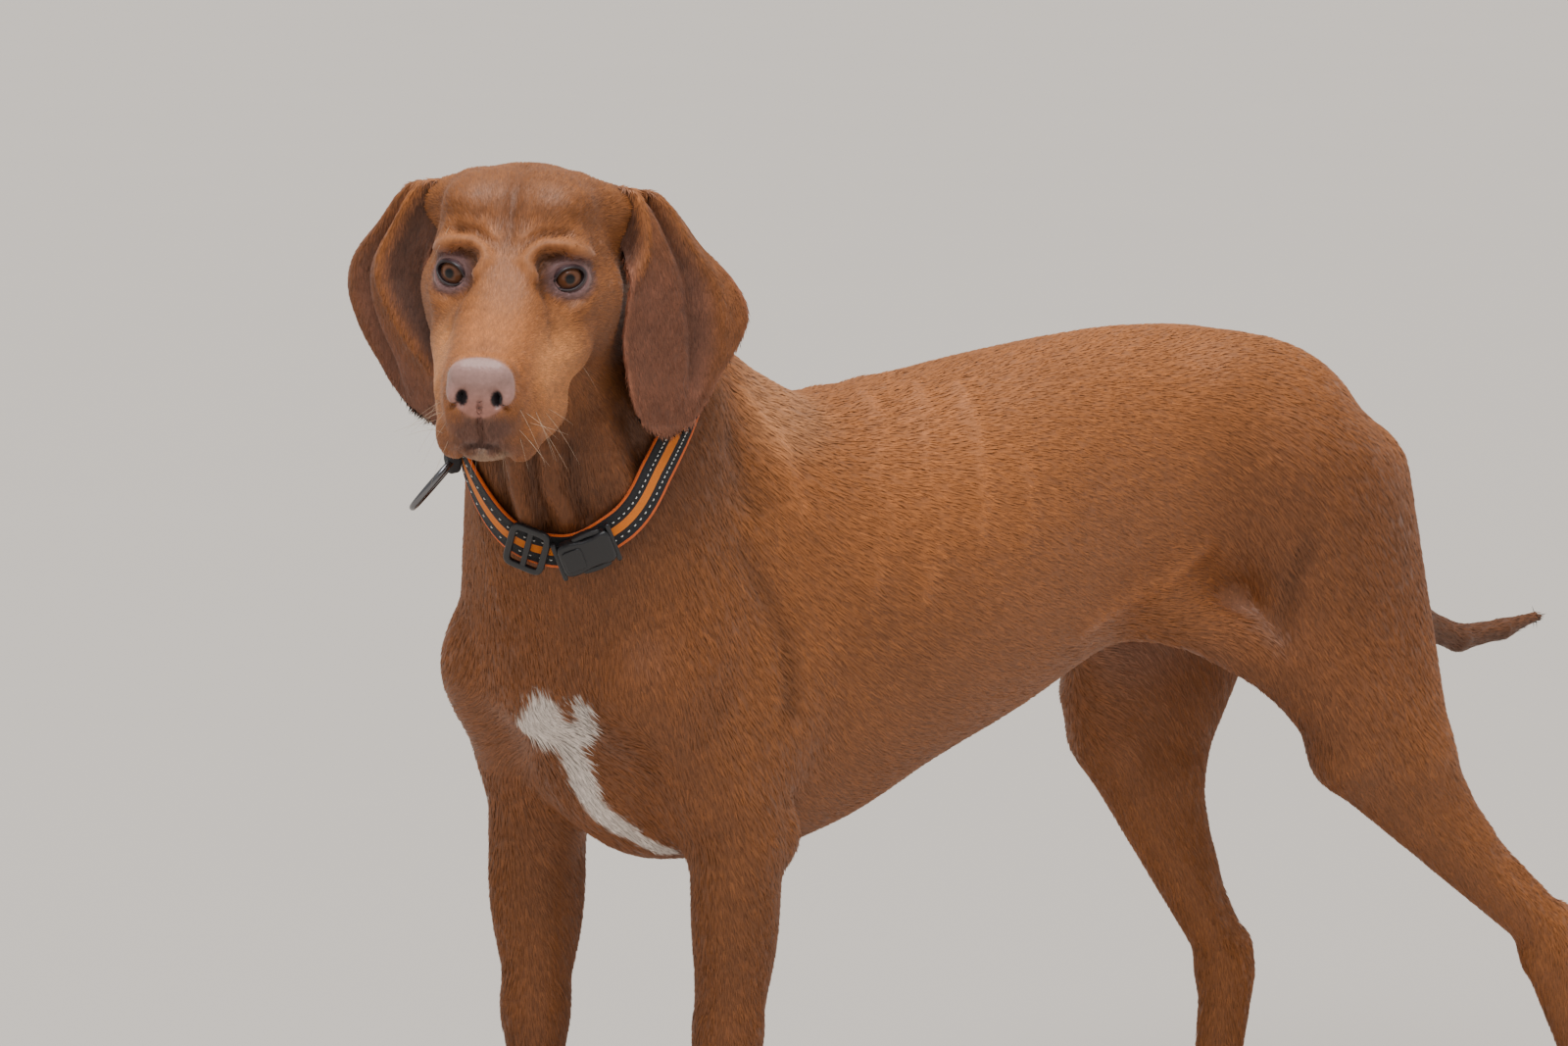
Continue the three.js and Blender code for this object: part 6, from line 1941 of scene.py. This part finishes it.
class DOG_PG_stage(bpy.types.PropertyGroup):
    """Floor, lights and camera."""
    floor: colour_property("Floor", "Pale floor", (0.53, 0.492, 0.452))
    sky: colour_property("Sky", "Even light from all round", (1.0, 0.985, 0.97))
    sky_strength: number_property("Sky strength", "Strength of the even light", 0.55)
    top_strength: number_property("Top light", "Strength of the soft light above", 3.8)
    fill_power: number_property("Front light", "Power of the front light", 30.0, unit="POWER")
    lens: number_property("Lens", "Focal length in millimetres", 143.3, 10.0, "CAMERA")


class DOG_OT_skin(bpy.types.Operator):
    """Adds the dog's whole skin."""
    bl_idname = "dog.skin"
    bl_label = "Skin"

    def execute(self, context):
        build_skin(context.scene.dog_look)
        return {"FINISHED"}


class DOG_OT_ears(bpy.types.Operator):
    """Adds both ears."""
    bl_idname = "dog.ears"
    bl_label = "Ears"

    def execute(self, context):
        build_ears(context.scene.dog_look)
        return {"FINISHED"}


class DOG_OT_eyes(bpy.types.Operator):
    """Adds the eyeballs and the edges of the lids."""
    bl_idname = "dog.eyes"
    bl_label = "Eyes"

    def execute(self, context):
        build_eyes(context.scene.dog_look)
        build_lids(context.scene.dog_look)
        return {"FINISHED"}


class DOG_OT_claws(bpy.types.Operator):
    """Adds the sixteen claws."""
    bl_idname = "dog.claws"
    bl_label = "Claws"

    def execute(self, context):
        build_claws(context.scene.dog_look)
        return {"FINISHED"}


class DOG_OT_whiskers(bpy.types.Operator):
    """Adds the whiskers and brow hairs."""
    bl_idname = "dog.whiskers"
    bl_label = "Whiskers"

    def execute(self, context):
        build_whiskers(context.scene.dog_look)
        return {"FINISHED"}


class DOG_OT_coat(bpy.types.Operator):
    """Adds the hair of the body and the ears."""
    bl_idname = "dog.coat"
    bl_label = "Coat"

    def execute(self, context):
        build_coat(context.scene.dog_look)
        return {"FINISHED"}


class DOG_OT_strap(bpy.types.Operator):
    """Adds the collar's webbing and its stitching."""
    bl_idname = "dog.strap"
    bl_label = "Strap"

    def execute(self, context):
        build_strap(context.scene.dog_collar)
        build_stitches(context.scene.dog_collar)
        return {"FINISHED"}


class DOG_OT_fittings(bpy.types.Operator):
    """Adds the slider, clasp, ring and keeper."""
    bl_idname = "dog.fittings"
    bl_label = "Fittings"

    def execute(self, context):
        build_slider(context.scene.dog_collar)
        build_clasp(context.scene.dog_collar)
        build_ring(context.scene.dog_collar)
        build_keeper(context.scene.dog_collar)
        return {"FINISHED"}


class DOG_OT_stage(bpy.types.Operator):
    """Adds the floor, lights and camera."""
    bl_idname = "dog.stage"
    bl_label = "Stage"

    def execute(self, context):
        build_stage(context.scene.dog_stage)
        return {"FINISHED"}


PIECES = [DOG_OT_skin, DOG_OT_ears, DOG_OT_eyes, DOG_OT_claws, DOG_OT_whiskers, DOG_OT_coat,
          DOG_OT_strap, DOG_OT_fittings, DOG_OT_stage]


class DOG_PT_panel(bpy.types.Panel):
    """Buttons and settings of the dog in the 3D view's sidebar."""
    bl_idname = "DOG_PT_panel"
    bl_label = "Standing pointer dog"
    bl_space_type = "VIEW_3D"
    bl_region_type = "UI"
    bl_category = "Dog"

    def draw(self, context):
        for piece in PIECES:
            self.layout.operator(piece.bl_idname)
        for group in (context.scene.dog_look, context.scene.dog_collar, context.scene.dog_stage):
            box = self.layout.box()
            for key in group.bl_rna.properties.keys():
                if key not in ("rna_type", "name"):
                    box.prop(group, key)


GROUPS = {"dog_look": DOG_PG_look, "dog_collar": DOG_PG_collar, "dog_stage": DOG_PG_stage}


def register():
    for cls in [*GROUPS.values(), *PIECES, DOG_PT_panel]:
        bpy.utils.register_class(cls)
    for name, cls in GROUPS.items():
        setattr(bpy.types.Scene, name, PointerProperty(type=cls))


def unregister():
    for name in GROUPS:
        delattr(bpy.types.Scene, name)
    for cls in reversed([*GROUPS.values(), *PIECES, DOG_PT_panel]):
        bpy.utils.unregister_class(cls)


def main():
    register()
    for piece in PIECES:
        if getattr(bpy.ops.dog, piece.bl_idname.split(".")[1])() != {"FINISHED"}:
            raise RuntimeError(piece.bl_idname + " didn't finish")


if __name__ == "__main__":
    main()
